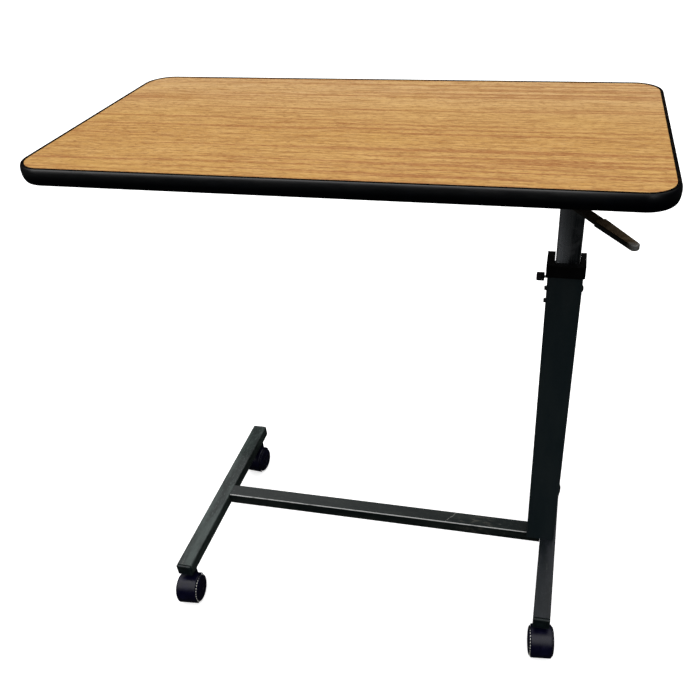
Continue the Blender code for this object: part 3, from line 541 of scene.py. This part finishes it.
def polished_tube():
    """Dark drawn steel, brushed vertically, with clouds and smudges. As painted light, its -X side is
    painted pale, and its corners just above the collar carry a painted highlight."""
    s = Surface("polished_steel")
    low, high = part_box("inner_mast")
    collar_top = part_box("column_collar")[1].z
    axes = s.axes()
    brush = s.noise((900, 900, 14), 3, 0.6)
    drawn = s.noise((130, 130, 3.0), 4, 0.6)
    cloud = s.noise((60, 60, 30), 5, 0.65)
    smudge = s.span(s.noise(52, 4, 0.6, distortion=0.8), 0.50, 0.64)
    scratch = s.span(s.noise((600, 600, 14), 2, 0.5, distortion=0.9), 0.62, 0.70)
    # Painted light: the -X side is painted pale, streaked by the drawn noise, and the +X side stays dark
    # steel.
    lit = s.span(axes[0], low.x + 1 * MM, high.x - 6 * MM, 1.0, 0.0)
    lit = s.math("MULTIPLY_ADD", drawn, 0.9, s.math("SUBTRACT", lit, 0.45), clamp=True)
    colour = s.mix(lit, (0.040, 0.052, 0.060), (0.640, 0.680, 0.740))
    colour = s.mix(s.span(cloud, 0.45, 0.7, 0.0, 0.45), colour, (0.34, 0.36, 0.39))
    colour = s.mix(s.math("MULTIPLY", smudge, 0.30), colour, (0.36, 0.38, 0.40))
    colour = s.mix(s.math("MULTIPLY", scratch, 0.5), colour, (0.55, 0.57, 0.58))
    # Painted highlight: the corners are painted pale just above the collar, fading out higher up.
    corner = s.span(edge_distance(s, low, high, (0, 1)), 0.0, 2.2 * MM, 1.0, 0.0)
    painted_edge_highlight = s.math("MULTIPLY", corner, s.span(axes[2], collar_top + 85 * MM, collar_top + 10 * MM))
    colour = s.mix(painted_edge_highlight, colour, (0.62, 0.62, 0.60))
    rough = s.span(s.math("MULTIPLY_ADD", smudge, 0.4, brush), 0.3, 1.1, 0.22, 0.42)
    # The painted corner highlight is made not metallic, and the painted pale side half so low on the mast,
    # so their pale colour shows as painted light.
    low_part = s.span(axes[2], low.z + 580 * MM, low.z + 460 * MM, 0.06, 1.0)
    painted_light_nonmetal = s.math("MAXIMUM", painted_edge_highlight, s.math("MULTIPLY", s.math("MULTIPLY", lit, low_part), 0.50))
    s.set(color=colour, rough=rough, metal=s.math("SUBTRACT", 1.0, painted_light_nonmetal))
    s.bump(brush, 0.00003, 0.5)
    return s.material


def bright_steel():
    """Zinc-plated steel with a fine cloudy spangle."""
    s = Surface("bright_steel")
    cloud = s.noise(260, 4, 0.6)
    colour = s.mix(s.span(cloud, 0.35, 0.7), (0.40, 0.41, 0.42), (0.60, 0.61, 0.61))
    s.set(color=colour, rough=s.span(cloud, 0.3, 0.7, 0.24, 0.40), metal=1.0)
    s.bump(s.noise(2400, 2), 0.00002, 0.5)
    return s.material


def moulded_plastic(
    name, base=(0.0050, 0.0050, 0.0070), dusty=(0.016, 0.016, 0.022), rough=(0.34, 0.48), specular=0.45,
):
    """Black moulded plastic: fine spark texture, faint flow clouds and dust."""
    s = Surface(name)
    cloud = s.noise(70, 5, 0.6)
    fine = s.noise(1900, 2, 0.6)
    colour = s.mix(s.span(cloud, 0.45, 0.75), base, dusty)
    colour = s.mix(s.span(fine, 0.62, 0.8, 0, 0.25), colour, dusty)
    s.set(color=colour, rough=s.span(cloud, 0.3, 0.7, *rough), specular=specular)
    s.bump(fine, 0.00004, 0.6)
    return s.material


def vinyl_sleeve():
    """Dipped black vinyl, glossy and lumpy: its top painted brown as a painted reflection of the board's
    underside, its tip painted grey as a painted highlight, and its side black.
    """
    s = Surface("vinyl_sleeve")
    low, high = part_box("lever_grip")
    lumps = s.noise(90, 3, 0.5)
    fine = s.noise(800, 2, 0.5)
    # Painted reflection: the brown stands in for the brown underside of the board, mirrored in the glossy
    # vinyl.
    colour = s.mix(s.span(lumps, 0.4, 0.7), (0.1500, 0.1050, 0.0620), (0.2600, 0.1950, 0.1250))
    axes = s.axes()
    # Painted highlight: the round tip is painted grey, in patches.
    tip = s.span(axes[1], low.y + 1 * MM, low.y + 12 * MM, 1.0, 0.0)
    painted_tip_highlight = s.math("MULTIPLY", tip, s.span(s.noise(150, 4, 0.6), 0.36, 0.58, 0.3, 1.0))
    colour = s.mix(painted_tip_highlight, colour, (0.300, 0.300, 0.290))
    side = s.span(axes[2], high.z - 1.0 * MM, high.z - 0.3 * MM, 1.0, 0.0)
    side = s.math("MULTIPLY", side, s.span(axes[1], low.y + 2 * MM, low.y + 10 * MM, 0.3, 1.0))
    colour = s.mix(side, colour, (0.0010, 0.0010, 0.0010))
    s.set(color=colour, rough=s.span(fine, 0.3, 0.7, 0.16, 0.28), specular=0.6)
    s.bump(s.math("MULTIPLY_ADD", fine, 0.15, lumps), 0.00025, 0.5)
    return s.material


def rim_with_painted_highlight():
    """The ribbed rim of a front wheel, painted pale in patches on its front half as a painted highlight."""
    s = Surface("rim_painted_highlight")
    patch = s.noise(160, 4, 0.6)
    hub = centre_of("caster_front_left_axle")
    # Painted highlight: the rim is pale on its half towards -Y and fades out behind the axle.
    painted_front_half = s.span(s.axes()[1], hub.y - 4 * MM, hub.y + 6 * MM, 1.0, 0.10)
    pale = s.math("MULTIPLY", s.span(patch, 0.3, 0.52, 0.3, 1.0), painted_front_half)
    colour = s.mix(pale, (0.012, 0.012, 0.014), (0.86, 0.86, 0.80))
    s.set(color=colour, rough=s.span(patch, 0.3, 0.7, 0.45, 0.6), specular=0.4)
    s.bump(patch, 0.0001, 0.5)
    return s.material


WOOD = wood_laminate()
PVC = edge_pvc()
STEEL_TUBE = polished_tube()
BRIGHT = bright_steel()
PLASTIC = moulded_plastic("black_plastic")
COLLAR_PLASTIC = moulded_plastic(
    "collar_plastic", (0.0012, 0.0012, 0.0014), (0.0030, 0.0030, 0.0034), rough=(0.50, 0.62), specular=0.12
)
NYLON = moulded_plastic(
    "black_nylon", (0.0014, 0.0012, 0.0115), (0.0038, 0.0036, 0.0230), rough=(0.26, 0.38), specular=0.36
)
PLUG_PLASTIC = moulded_plastic(
    "plug_plastic", (0.0030, 0.0072, 0.0080), (0.0150, 0.0300, 0.0320), rough=(0.26, 0.40), specular=0.5
)
VINYL = vinyl_sleeve()
RIM = rim_with_painted_highlight()
DULL_RIM = moulded_plastic("dull_rim", (0.0100, 0.0100, 0.0110), (0.0400, 0.0400, 0.0400))


# The tabletop's edge


# How flat the crown stays across its top, and how square down its outer face. 2 is round.
CROWN_FLATNESS = 2.2
CROWN_SQUARENESS = 2.1
CROWN_STEPS = 26
# How far out from the sheet's edge the moulding begins, its crown begins, and its matte flank ends.
LIP_START = 0.3 * MM
CROWN_START = 2.4 * MM
SEAM_REACH = 4.1 * MM
# The sheet's rounded corners.
SHEET_CORNER_R = 35 * MM
SHEET_CORNER_STEPS = 28


def moulding_profile(lip, half_z):
    """The moulding in section, as (reach out from the sheet's edge, height above its own middle)."""
    flank = [
        (LIP_START, half_z - 0.9 * MM),
        (LIP_START + 0.25 * MM, half_z - 0.35 * MM),
        (LIP_START + 0.8 * MM, half_z - 0.08 * MM),
    ]
    crown = []
    for step in range(CROWN_STEPS + 1):
        t = math.pi * (0.5 - step / CROWN_STEPS)
        reach = CROWN_START + (lip - CROWN_START) * abs(math.cos(t)) ** (2 / CROWN_FLATNESS)
        rise = half_z * math.copysign(abs(math.sin(t)) ** (2 / CROWN_SQUARENESS), math.sin(t))
        crown.append((reach, rise))
    return flank + crown + [(reach, -rise) for reach, rise in reversed(flank)]


def make_edge_moulding():
    """The black moulding, swept round the sheet's rounded outline."""
    low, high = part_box("edge_moulding")
    sheet_low, sheet_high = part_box("wood_laminate")
    middle = (low + high) / 2
    half_sheet = (sheet_high - sheet_low) / 2
    lip = (high.x - low.x) / 2 - half_sheet.x
    profile = moulding_profile(lip, (high.z - low.z) / 2)
    points, faces = [], []
    for sx, sy, start in CORNERS:
        cx = middle.x + sx * (half_sheet.x - SHEET_CORNER_R)
        cy = middle.y + sy * (half_sheet.y - SHEET_CORNER_R)
        for step in range(SHEET_CORNER_STEPS + 1):
            a = math.radians(start + 90 * step / SHEET_CORNER_STEPS)
            for reach, rise in profile:
                radius = SHEET_CORNER_R + reach
                points.append((cx + radius * math.cos(a), cy + radius * math.sin(a), middle.z + rise))
    size = len(profile)
    rows = len(points) // size
    for i in range(rows):
        after = (i + 1) % rows
        for j in range(size):
            k = (j + 1) % size
            faces.append((i * size + j, after * size + j, after * size + k, i * size + k))
    obj = shade(paint(mesh_object("t_moulding", points, faces), PVC), 50)
    obj.data.materials.append(edge_seam())
    for index, polygon in enumerate(obj.data.polygons):
        (reach, rise), (next_reach, _) = profile[index % size], profile[(index + 1) % size]
        if rise > 0 and max(reach, next_reach) <= SEAM_REACH:
            polygon.material_index = 1
    return stands_for(obj, "edge_moulding")


# Casters


# A hood over its two wheels: a shell open on both sides, cut out round the axle up to a web in the middle.
HOOD_R = 28 * MM
HOOD_HALF_WIDTH = 18 * MM
HOOD_CAVITY_R = 26 * MM
HOOD_HALF_WEB = 3.5 * MM
HOOD_ROUNDING = 2.4 * MM
HOOD_ARC = (-50, 152)
HOOD_ARC_STEPS = 44


def hood_outline():
    """The hood seen along its axle, about the axle's centre: up is +Y, the stem's side is +X."""
    points = []
    start, end = HOOD_ARC
    for step in range(HOOD_ARC_STEPS + 1):
        a = math.radians(start + (end - start) * step / HOOD_ARC_STEPS)
        points.append((-HOOD_R * math.cos(a), HOOD_R * math.sin(a)))
    return points + [(11 * MM, -8 * MM), (-10 * MM, -12 * MM)]


def caster_frame(name):
    """The matrix from (back, up, along the axle) about the axle's middle to the table's own frame, and how
    far the stem stands behind the axle."""
    axle = centre_of(f"caster_{name}_axle")
    stem = centre_of(f"caster_{name}_stem")
    back = Vector((stem.x - axle.x, stem.y - axle.y, 0)).normalized()
    up = Vector((0, 0, 1))
    along = back.cross(up)
    matrix = Matrix((
        (back.x, up.x, along.x, axle.x),
        (back.y, up.y, along.y, axle.y),
        (back.z, up.z, along.z, axle.z),
        (0, 0, 0, 1),
    ))
    return matrix, Vector((stem.x - axle.x, stem.y - axle.y)).length


def make_hood(name):
    """A caster's hood, with the neck that its stem stands in."""
    matrix, trail = caster_frame(name)
    node = f"caster_{name}_hood"
    shell = prism(node + "_shell", hood_outline(), -HOOD_HALF_WIDTH, HOOD_HALF_WIDTH)
    hood = soften(shell, HOOD_ROUNDING, 4, 50)
    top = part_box(node)[1].z - matrix.translation.z
    neck_profile = [
        (0, 10 * MM),
        (9 * MM, 10 * MM),
        (9 * MM, 28 * MM),
        (8.6 * MM, top - 0.4 * MM),
        (8.2 * MM, top),
        (0, top),
    ]
    stand = Matrix(((1, 0, 0, trail), (0, 0, 1, 0), (0, -1, 0, 0), (0, 0, 0, 1)))
    hood = combine(hood, turned("neck", neck_profile, 48, stand), "UNION")
    past_side = HOOD_HALF_WIDTH + MM
    for low, high in ((HOOD_HALF_WEB, past_side), (-past_side, -HOOD_HALF_WEB)):
        ring = [(0, low), (HOOD_CAVITY_R, low), (HOOD_CAVITY_R, high), (0, high)]
        hood = combine(hood, turned("cavity", ring, 64), "DIFFERENCE")
    hood.data.transform(matrix)
    hood = shade(paint(hood, NYLON), 40)
    return stands_for(hood, node)


# The wheels whose ribbed rims carry that painted highlight on their front half.
PAINTED_HIGHLIGHT_WHEELS = ("caster_front_left_wheel_right", "caster_front_right_wheel_left")
WHEEL_R = 25 * MM
# How far out along the axle a wheel's inner side, the flange that carries its ribs and its outer side are.
WHEEL_INNER = 4.0 * MM
WHEEL_FLANGE = 19.6 * MM
WHEEL_OUTER = 22.6 * MM
# The flange and the face beside it are this much smaller than the tread.
FLANGE_STEP = 0.9 * MM
TREAD_ROUNDING = 1.4 * MM
# The face is a dome as far in as this, and a flat hub inside it.
HUB_R = 9.6 * MM
RIB_COUNT = 30
RIB_HALF_HEIGHT = 0.90 * MM
RIB_HALF_WIDTH = 1.30 * MM
RIB_ROUNDING = 0.25 * MM
RIB_HALF_LENGTH = 0.56 * MM


def wheel_profile():
    """A wheel's section, as (radius, distance out along the axle), from its inner to its outer side."""
    profile = [(0, WHEEL_INNER), (3.4 * MM, WHEEL_INNER), (WHEEL_R - 3 * MM, WHEEL_INNER)]
    profile += arc(WHEEL_R - TREAD_ROUNDING, WHEEL_INNER + TREAD_ROUNDING, TREAD_ROUNDING, -70, 0, 6)
    profile += [(WHEEL_R, WHEEL_FLANGE - 2.2 * MM), (WHEEL_R - FLANGE_STEP, WHEEL_FLANGE - 1.7 * MM)]
    for step in range(15):
        a = math.radians(6 * step)
        radius = (WHEEL_R - FLANGE_STEP) * math.cos(a) ** 0.8
        if radius > HUB_R:
            profile.append((radius, WHEEL_FLANGE + (WHEEL_OUTER - WHEEL_FLANGE) * math.sin(a)))
    hub = [(9.2, 1.1), (8.6, 0.5), (7.6, 0.1), (3.6, 0.1), (3.4, 0.6), (0, 0.8)]
    return profile + [(radius * MM, WHEEL_OUTER - sunk * MM) for radius, sunk in hub]


def make_wheel(name, side):
    """A wheel with a rounded tread, a ribbed rim beside it, and a domed outer face with a hub."""
    matrix, _ = caster_frame(name)
    node = f"caster_{name}_wheel_{side}"
    body = paint(turned(node + "_moulding", wheel_profile(), 96), NYLON)
    # Ribs with the painted highlight on the wheels listed above, plain ribs on the rest.
    rim = RIM if node in PAINTED_HIGHLIGHT_WHEELS else DULL_RIM
    outline = rounded_rectangle(RIB_HALF_HEIGHT, RIB_HALF_WIDTH, RIB_ROUNDING, 1)
    outwards = Matrix.Translation((WHEEL_R - 0.87 * MM, 0, WHEEL_FLANGE - 0.75 * MM))
    ribs = []
    for index in range(RIB_COUNT):
        turn = Matrix.Rotation(2 * math.pi * index / RIB_COUNT, 4, "Z")
        rib = prism(f"rib_{index}", outline, -RIB_HALF_LENGTH, RIB_HALF_LENGTH, turn @ outwards)
        ribs.append(paint(rib, rim))
    wheel = joined([body] + ribs)
    wheel.name = node + "_ribbed"
    if (matrix.inverted() @ centre_of(node)).z < 0:
        wheel.data.transform(Matrix.Rotation(math.pi, 4, "Y"))
    wheel.data.transform(matrix)
    shade(wheel, 32)
    return stands_for(wheel, node)


# The lever's sleeve and the knob


# The sleeve's mouth and tip, its whole length, and how far it leans from -Y towards +X.
GRIP_HALF_WIDTH = 8.7 * MM
GRIP_TIP_R = 6.3 * MM
GRIP_LENGTH = 79.5 * MM
GRIP_LEAN = 33.4
GRIP_TIP_STEPS = 25


def make_lever_grip():
    """A dipped sleeve on the flat lever: flat oval in section, tapering to a round end."""
    low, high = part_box("lever_grip")
    thick = high.z - low.z
    straight = GRIP_LENGTH - GRIP_TIP_R
    outline = [(GRIP_HALF_WIDTH - 1.2 * MM, 0), (GRIP_HALF_WIDTH, 1.4 * MM)]
    for step in range(1, GRIP_TIP_STEPS):
        a = math.pi * step / GRIP_TIP_STEPS
        outline.append((GRIP_TIP_R * math.cos(a), straight + GRIP_TIP_R * math.sin(a)))
    outline += [(-GRIP_HALF_WIDTH, 1.4 * MM), (-GRIP_HALF_WIDTH + 1.2 * MM, 0)]
    angle = math.radians(GRIP_LEAN)
    direction = Vector((math.sin(angle), -math.cos(angle), 0))
    side = Vector((0, 0, 1)).cross(direction)
    round_middle = Vector((high.x - GRIP_TIP_R, low.y + GRIP_TIP_R, (low.z + high.z) / 2))
    start = round_middle - direction * straight
    matrix = Matrix((
        (-side.x, direction.x, 0, start.x),
        (-side.y, direction.y, 0, start.y),
        (0, 0, 1, start.z),
        (0, 0, 0, 1),
    ))
    grip = prism("vinyl_grip", outline, -thick / 2, thick / 2, matrix)
    grip = soften(grip, thick * 0.30, 6, 50)
    return stands_for(shade(paint(grip, VINYL), 60), "lever_grip")


def along_minus_x(node):
    """A matrix whose +Z runs along -X from the node's right end, on the node's own middle line."""
    right_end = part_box(node)[1].x
    middle = centre_of(node)
    return Matrix((
        (0, 0, -1, right_end),
        (0, 1, 0, middle.y),
        (1, 0, 0, middle.z),
        (0, 0, 0, 1),
    ))


KNOB_FLUTES = 18
KNOB_STEPS = 144
# How deep a flute is, and how narrow its bottom. Depth is a share of the knob's radius.
FLUTE_DEPTH = 0.075
FLUTE_NARROWNESS = 3
# The knob from its inner end to its outer end, as shares of its radius and its length.
KNOB_PROFILE = ((0.86, 0.0), (0.97, 0.05), (1.0, 0.12), (1.0, 0.82), (0.97, 0.91), (0.88, 0.97), (0.70, 1.0))


def make_knob():
    """A fluted thumb knob with a domed end."""
    low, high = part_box("tension_knob")
    length, radius = high.x - low.x, (high.z - low.z) / 2
    points, faces = [], []
    for reach, along in KNOB_PROFILE:
        for step in range(KNOB_STEPS):
            a = 2 * math.pi * step / KNOB_STEPS
            groove = 0.5 - 0.5 * math.cos(KNOB_FLUTES * a)
            r = radius * reach * (1 - FLUTE_DEPTH * groove ** FLUTE_NARROWNESS)
            points.append((r * math.cos(a), r * math.sin(a), along * length))
    for row in range(len(KNOB_PROFILE) - 1):
        for step in range(KNOB_STEPS):
            after = (step + 1) % KNOB_STEPS
            a, b = row * KNOB_STEPS, (row + 1) * KNOB_STEPS
            faces.append((a + step, a + after, b + after, b + step))
    faces.append(tuple(range(KNOB_STEPS)))
    faces.append(tuple(range(len(points) - KNOB_STEPS, len(points))))
    knob = mesh_object("fluted_knob", points, faces, along_minus_x("tension_knob"))
    return stands_for(shade(paint(knob, PLASTIC), 30), "tension_knob")


# The plain CAD pieces get their finish here


# Each painted piece: its long axis, its rubbed edges and handling marks, and its own shades, some of them
# painted light.
COATS = {
    # The left foot bar's base and scuff colours are lighter than the right bar's: partly its own scuffs,
    # partly painted light on its top.
    "left_foot_bar": dict(
        along=1, wear=0.6, scuffs=1.5, base=(0.0060, 0.0120, 0.0110), worn=(0.064, 0.086, 0.079),
        shine=(0.105, 0.170, 0.55, 0.20),
    ),
    "right_foot_bar": dict(
        along=1, wear=0.1, scuffs=0.8, base=(0.0050, 0.0080, 0.0100), worn=(0.026, 0.029, 0.038),
    ),
    # The cross beam's top front edge carries a painted highlight.
    "cross_beam": dict(
        along=0, wear=0.4, scuffs=0.9, worn=(0.034, 0.040, 0.036), shine=(-0.36, 0.26, 0.52, 0.10),
        painted_front_highlight=True, patch=0.118,
    ),
    "outer_column": dict(along=2, wear=0.1, scuffs=0.3, base=(0.0125, 0.0215, 0.0255)),
    "support_channel": dict(along=0),
    "mast_gusset": dict(along=2),
    # The release lever's brown base and scuff colours are a painted reflection of the brown underside of the
    # board above it.
    "release_lever": dict(
        along=0, wear=0.4, scuffs=0.8, base=(0.0300, 0.0225, 0.0140), worn=(0.090, 0.072, 0.048),
    ),
    "gas_spring_cylinder": dict(along=2, wear=0.1, scuffs=0.3),
}
OWN_FINISH = {
    "wood_laminate": WOOD,
    "tabletop_core": raw_board(),
    "backing_sheet": backing_sheet(),
    "inner_mast": STEEL_TUBE,
    "column_collar": COLLAR_PLASTIC,
}
BRIGHT_STARTS = ("gas_spring", "release_head", "release_pin", "lever_pivot", "table_screw", "tension_screw")
BRIGHT_ENDS = ("_stem", "_axle")


def finish_cad_pieces():
    for node, obj in NODES.items():
        if node in COATS:
            paint(obj, powder_coat(node + "_coat", node, **COATS[node]))
        elif node in OWN_FINISH:
            paint(obj, OWN_FINISH[node])
        elif node.startswith(BRIGHT_STARTS) or node.endswith(BRIGHT_ENDS):
            paint(obj, BRIGHT)
        elif node.startswith("end_plug"):
            paint(obj, PLUG_PLASTIC)
        else:
            paint(obj, PLASTIC)


make_edge_moulding()
for corner in ("front_left", "front_right", "rear_left", "rear_right"):
    make_hood(corner)
    make_wheel(corner, "left")
    make_wheel(corner, "right")
make_lever_grip()
make_knob()
finish_cad_pieces()


# Floor, light and camera


FLOOR_HALF = 9.0
# What the floor sends back to the object, and how far the floor itself is lifted towards white.
FLOOR_BOUNCE = (0.030, 0.030, 0.029)
FLOOR_GLOW = 0.66


def make_floor():
    """A floor that looks white to the camera and nearly black to the object, so that blacks stay dark."""
    mesh = bpy.data.meshes.new("floor")
    bm = bmesh.new()
    bmesh.ops.create_grid(bm, x_segments=1, y_segments=1, size=FLOOR_HALF)
    bm.to_mesh(mesh)
    bm.free()
    floor = link("studio_floor", mesh)
    s = Surface("studio_floor")
    seen = s.node("ShaderNodeLightPath").outputs["Is Camera Ray"]
    tone = s.span(s.noise(1.5, 2), 0.3, 0.7, 0.0, 1.0)
    pale = s.mix(tone, (0.90, 0.90, 0.90), (0.92, 0.92, 0.92))
    s.set(color=s.mix(seen, FLOOR_BOUNCE, pale), rough=0.9, specular=0.0)
    s.shader.inputs["Emission Color"].default_value = (1, 1, 1, 1)
    s.wire(s.math("MULTIPLY", seen, FLOOR_GLOW), s.shader.inputs["Emission Strength"])
    paint(floor, s.material)


def make_light(name, where, target, size, power):
    """A rectangular softbox that faces its target."""
    data = bpy.data.lights.new(name, "AREA")
    data.shape = "RECTANGLE"
    data.size, data.size_y = size
    data.energy = power
    lamp = link(name, data)
    lamp.location = where
    lamp.rotation_euler = (Vector(target) - Vector(where)).to_track_quat("-Z", "Y").to_euler()


# How strongly the sky lights the object at the horizon and overhead, which of its heights those are, and how
# bright the backdrop looks to the camera.
HORIZON_LIGHT = 0.012
SKY_LIGHT = 1.62
HORIZON_HEIGHT = 0.34
OVERHEAD_HEIGHT = 0.95
BACKDROP = 1.05


def make_world():
    """A soft sky of light, brightest overhead and dark at the horizon, before a plain white backdrop."""
    world = bpy.data.worlds.new("studio")
    bpy.context.scene.world = world
    world.use_nodes = True
    tree = world.node_tree
    background = tree.nodes["Background"]
    background.inputs["Color"].default_value = (1, 1, 1, 1)
    split = tree.nodes.new("ShaderNodeSeparateXYZ")
    tree.links.new(tree.nodes.new("ShaderNodeTexCoord").outputs["Generated"], split.inputs[0])
    dome = tree.nodes.new("ShaderNodeMapRange")
    dome.interpolation_type = "SMOOTHSTEP"
    dome.inputs["From Min"].default_value = HORIZON_HEIGHT
    dome.inputs["From Max"].default_value = OVERHEAD_HEIGHT
    dome.inputs["To Min"].default_value = HORIZON_LIGHT
    dome.inputs["To Max"].default_value = SKY_LIGHT
    tree.links.new(split.outputs["Z"], dome.inputs["Value"])
    strength = tree.nodes.new("ShaderNodeMix")
    strength.data_type = "FLOAT"
    strength.inputs[3].default_value = BACKDROP
    tree.links.new(tree.nodes.new("ShaderNodeLightPath").outputs["Is Camera Ray"], strength.inputs[0])
    tree.links.new(dome.outputs[0], strength.inputs[2])
    tree.links.new(strength.outputs[0], background.inputs["Strength"])


# Where the camera stands: X in the frame, Y and Z from the middle of the tabletop's upper side.
CAMERA_PLACE = Vector((0.2796, -0.9664, 0.3261))
CAMERA_LENS = 38.29
CAMERA_SENSOR = 36.0
CAMERA_SHIFT = (-0.0775, 0.0453)
CAMERA_TURN = (
    Matrix.Rotation(math.radians(11.882), 3, "Z")
    @ Matrix.Rotation(math.radians(2.605), 3, "Y")
    @ Matrix.Rotation(math.radians(52.591), 3, "X")
)


def make_camera():
    """The photograph's own view: from the front right, a little above the top, about 1.1 m away."""
    top = Vector((0, centre_of("edge_moulding").y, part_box("edge_moulding")[1].z))
    data = bpy.data.cameras.new("photo_view")
    data.lens, data.sensor_width = CAMERA_LENS, CAMERA_SENSOR
    data.shift_x, data.shift_y = CAMERA_SHIFT
    data.clip_start, data.clip_end = 0.05, 60
    camera = link("photo_view", data)
    camera.matrix_world = Matrix.Translation(CAMERA_PLACE + top) @ CAMERA_TURN.to_4x4()
    bpy.context.scene.camera = camera


def make_lights():
    """A softbox overhead and two fills from the front. The sky gives most of the light."""
    make_light("overhead_softbox", (-0.4, 0.3, 2.9), (0, 0, 0.7), (2.2, 1.6), 12)
    make_light("front_left_fill", (-2.4, -2.2, 2.4), (0, 0, 0.5), (1.2, 1.2), 8)
    make_light("front_right_fill", (1.7, -2.3, 1.7), (0.2, 0, 0.5), (0.7, 1.1), 7)


make_floor()
make_world()
make_camera()
make_lights()

scene = bpy.context.scene
scene.view_settings.view_transform = "Standard"
scene.view_settings.look = "None"
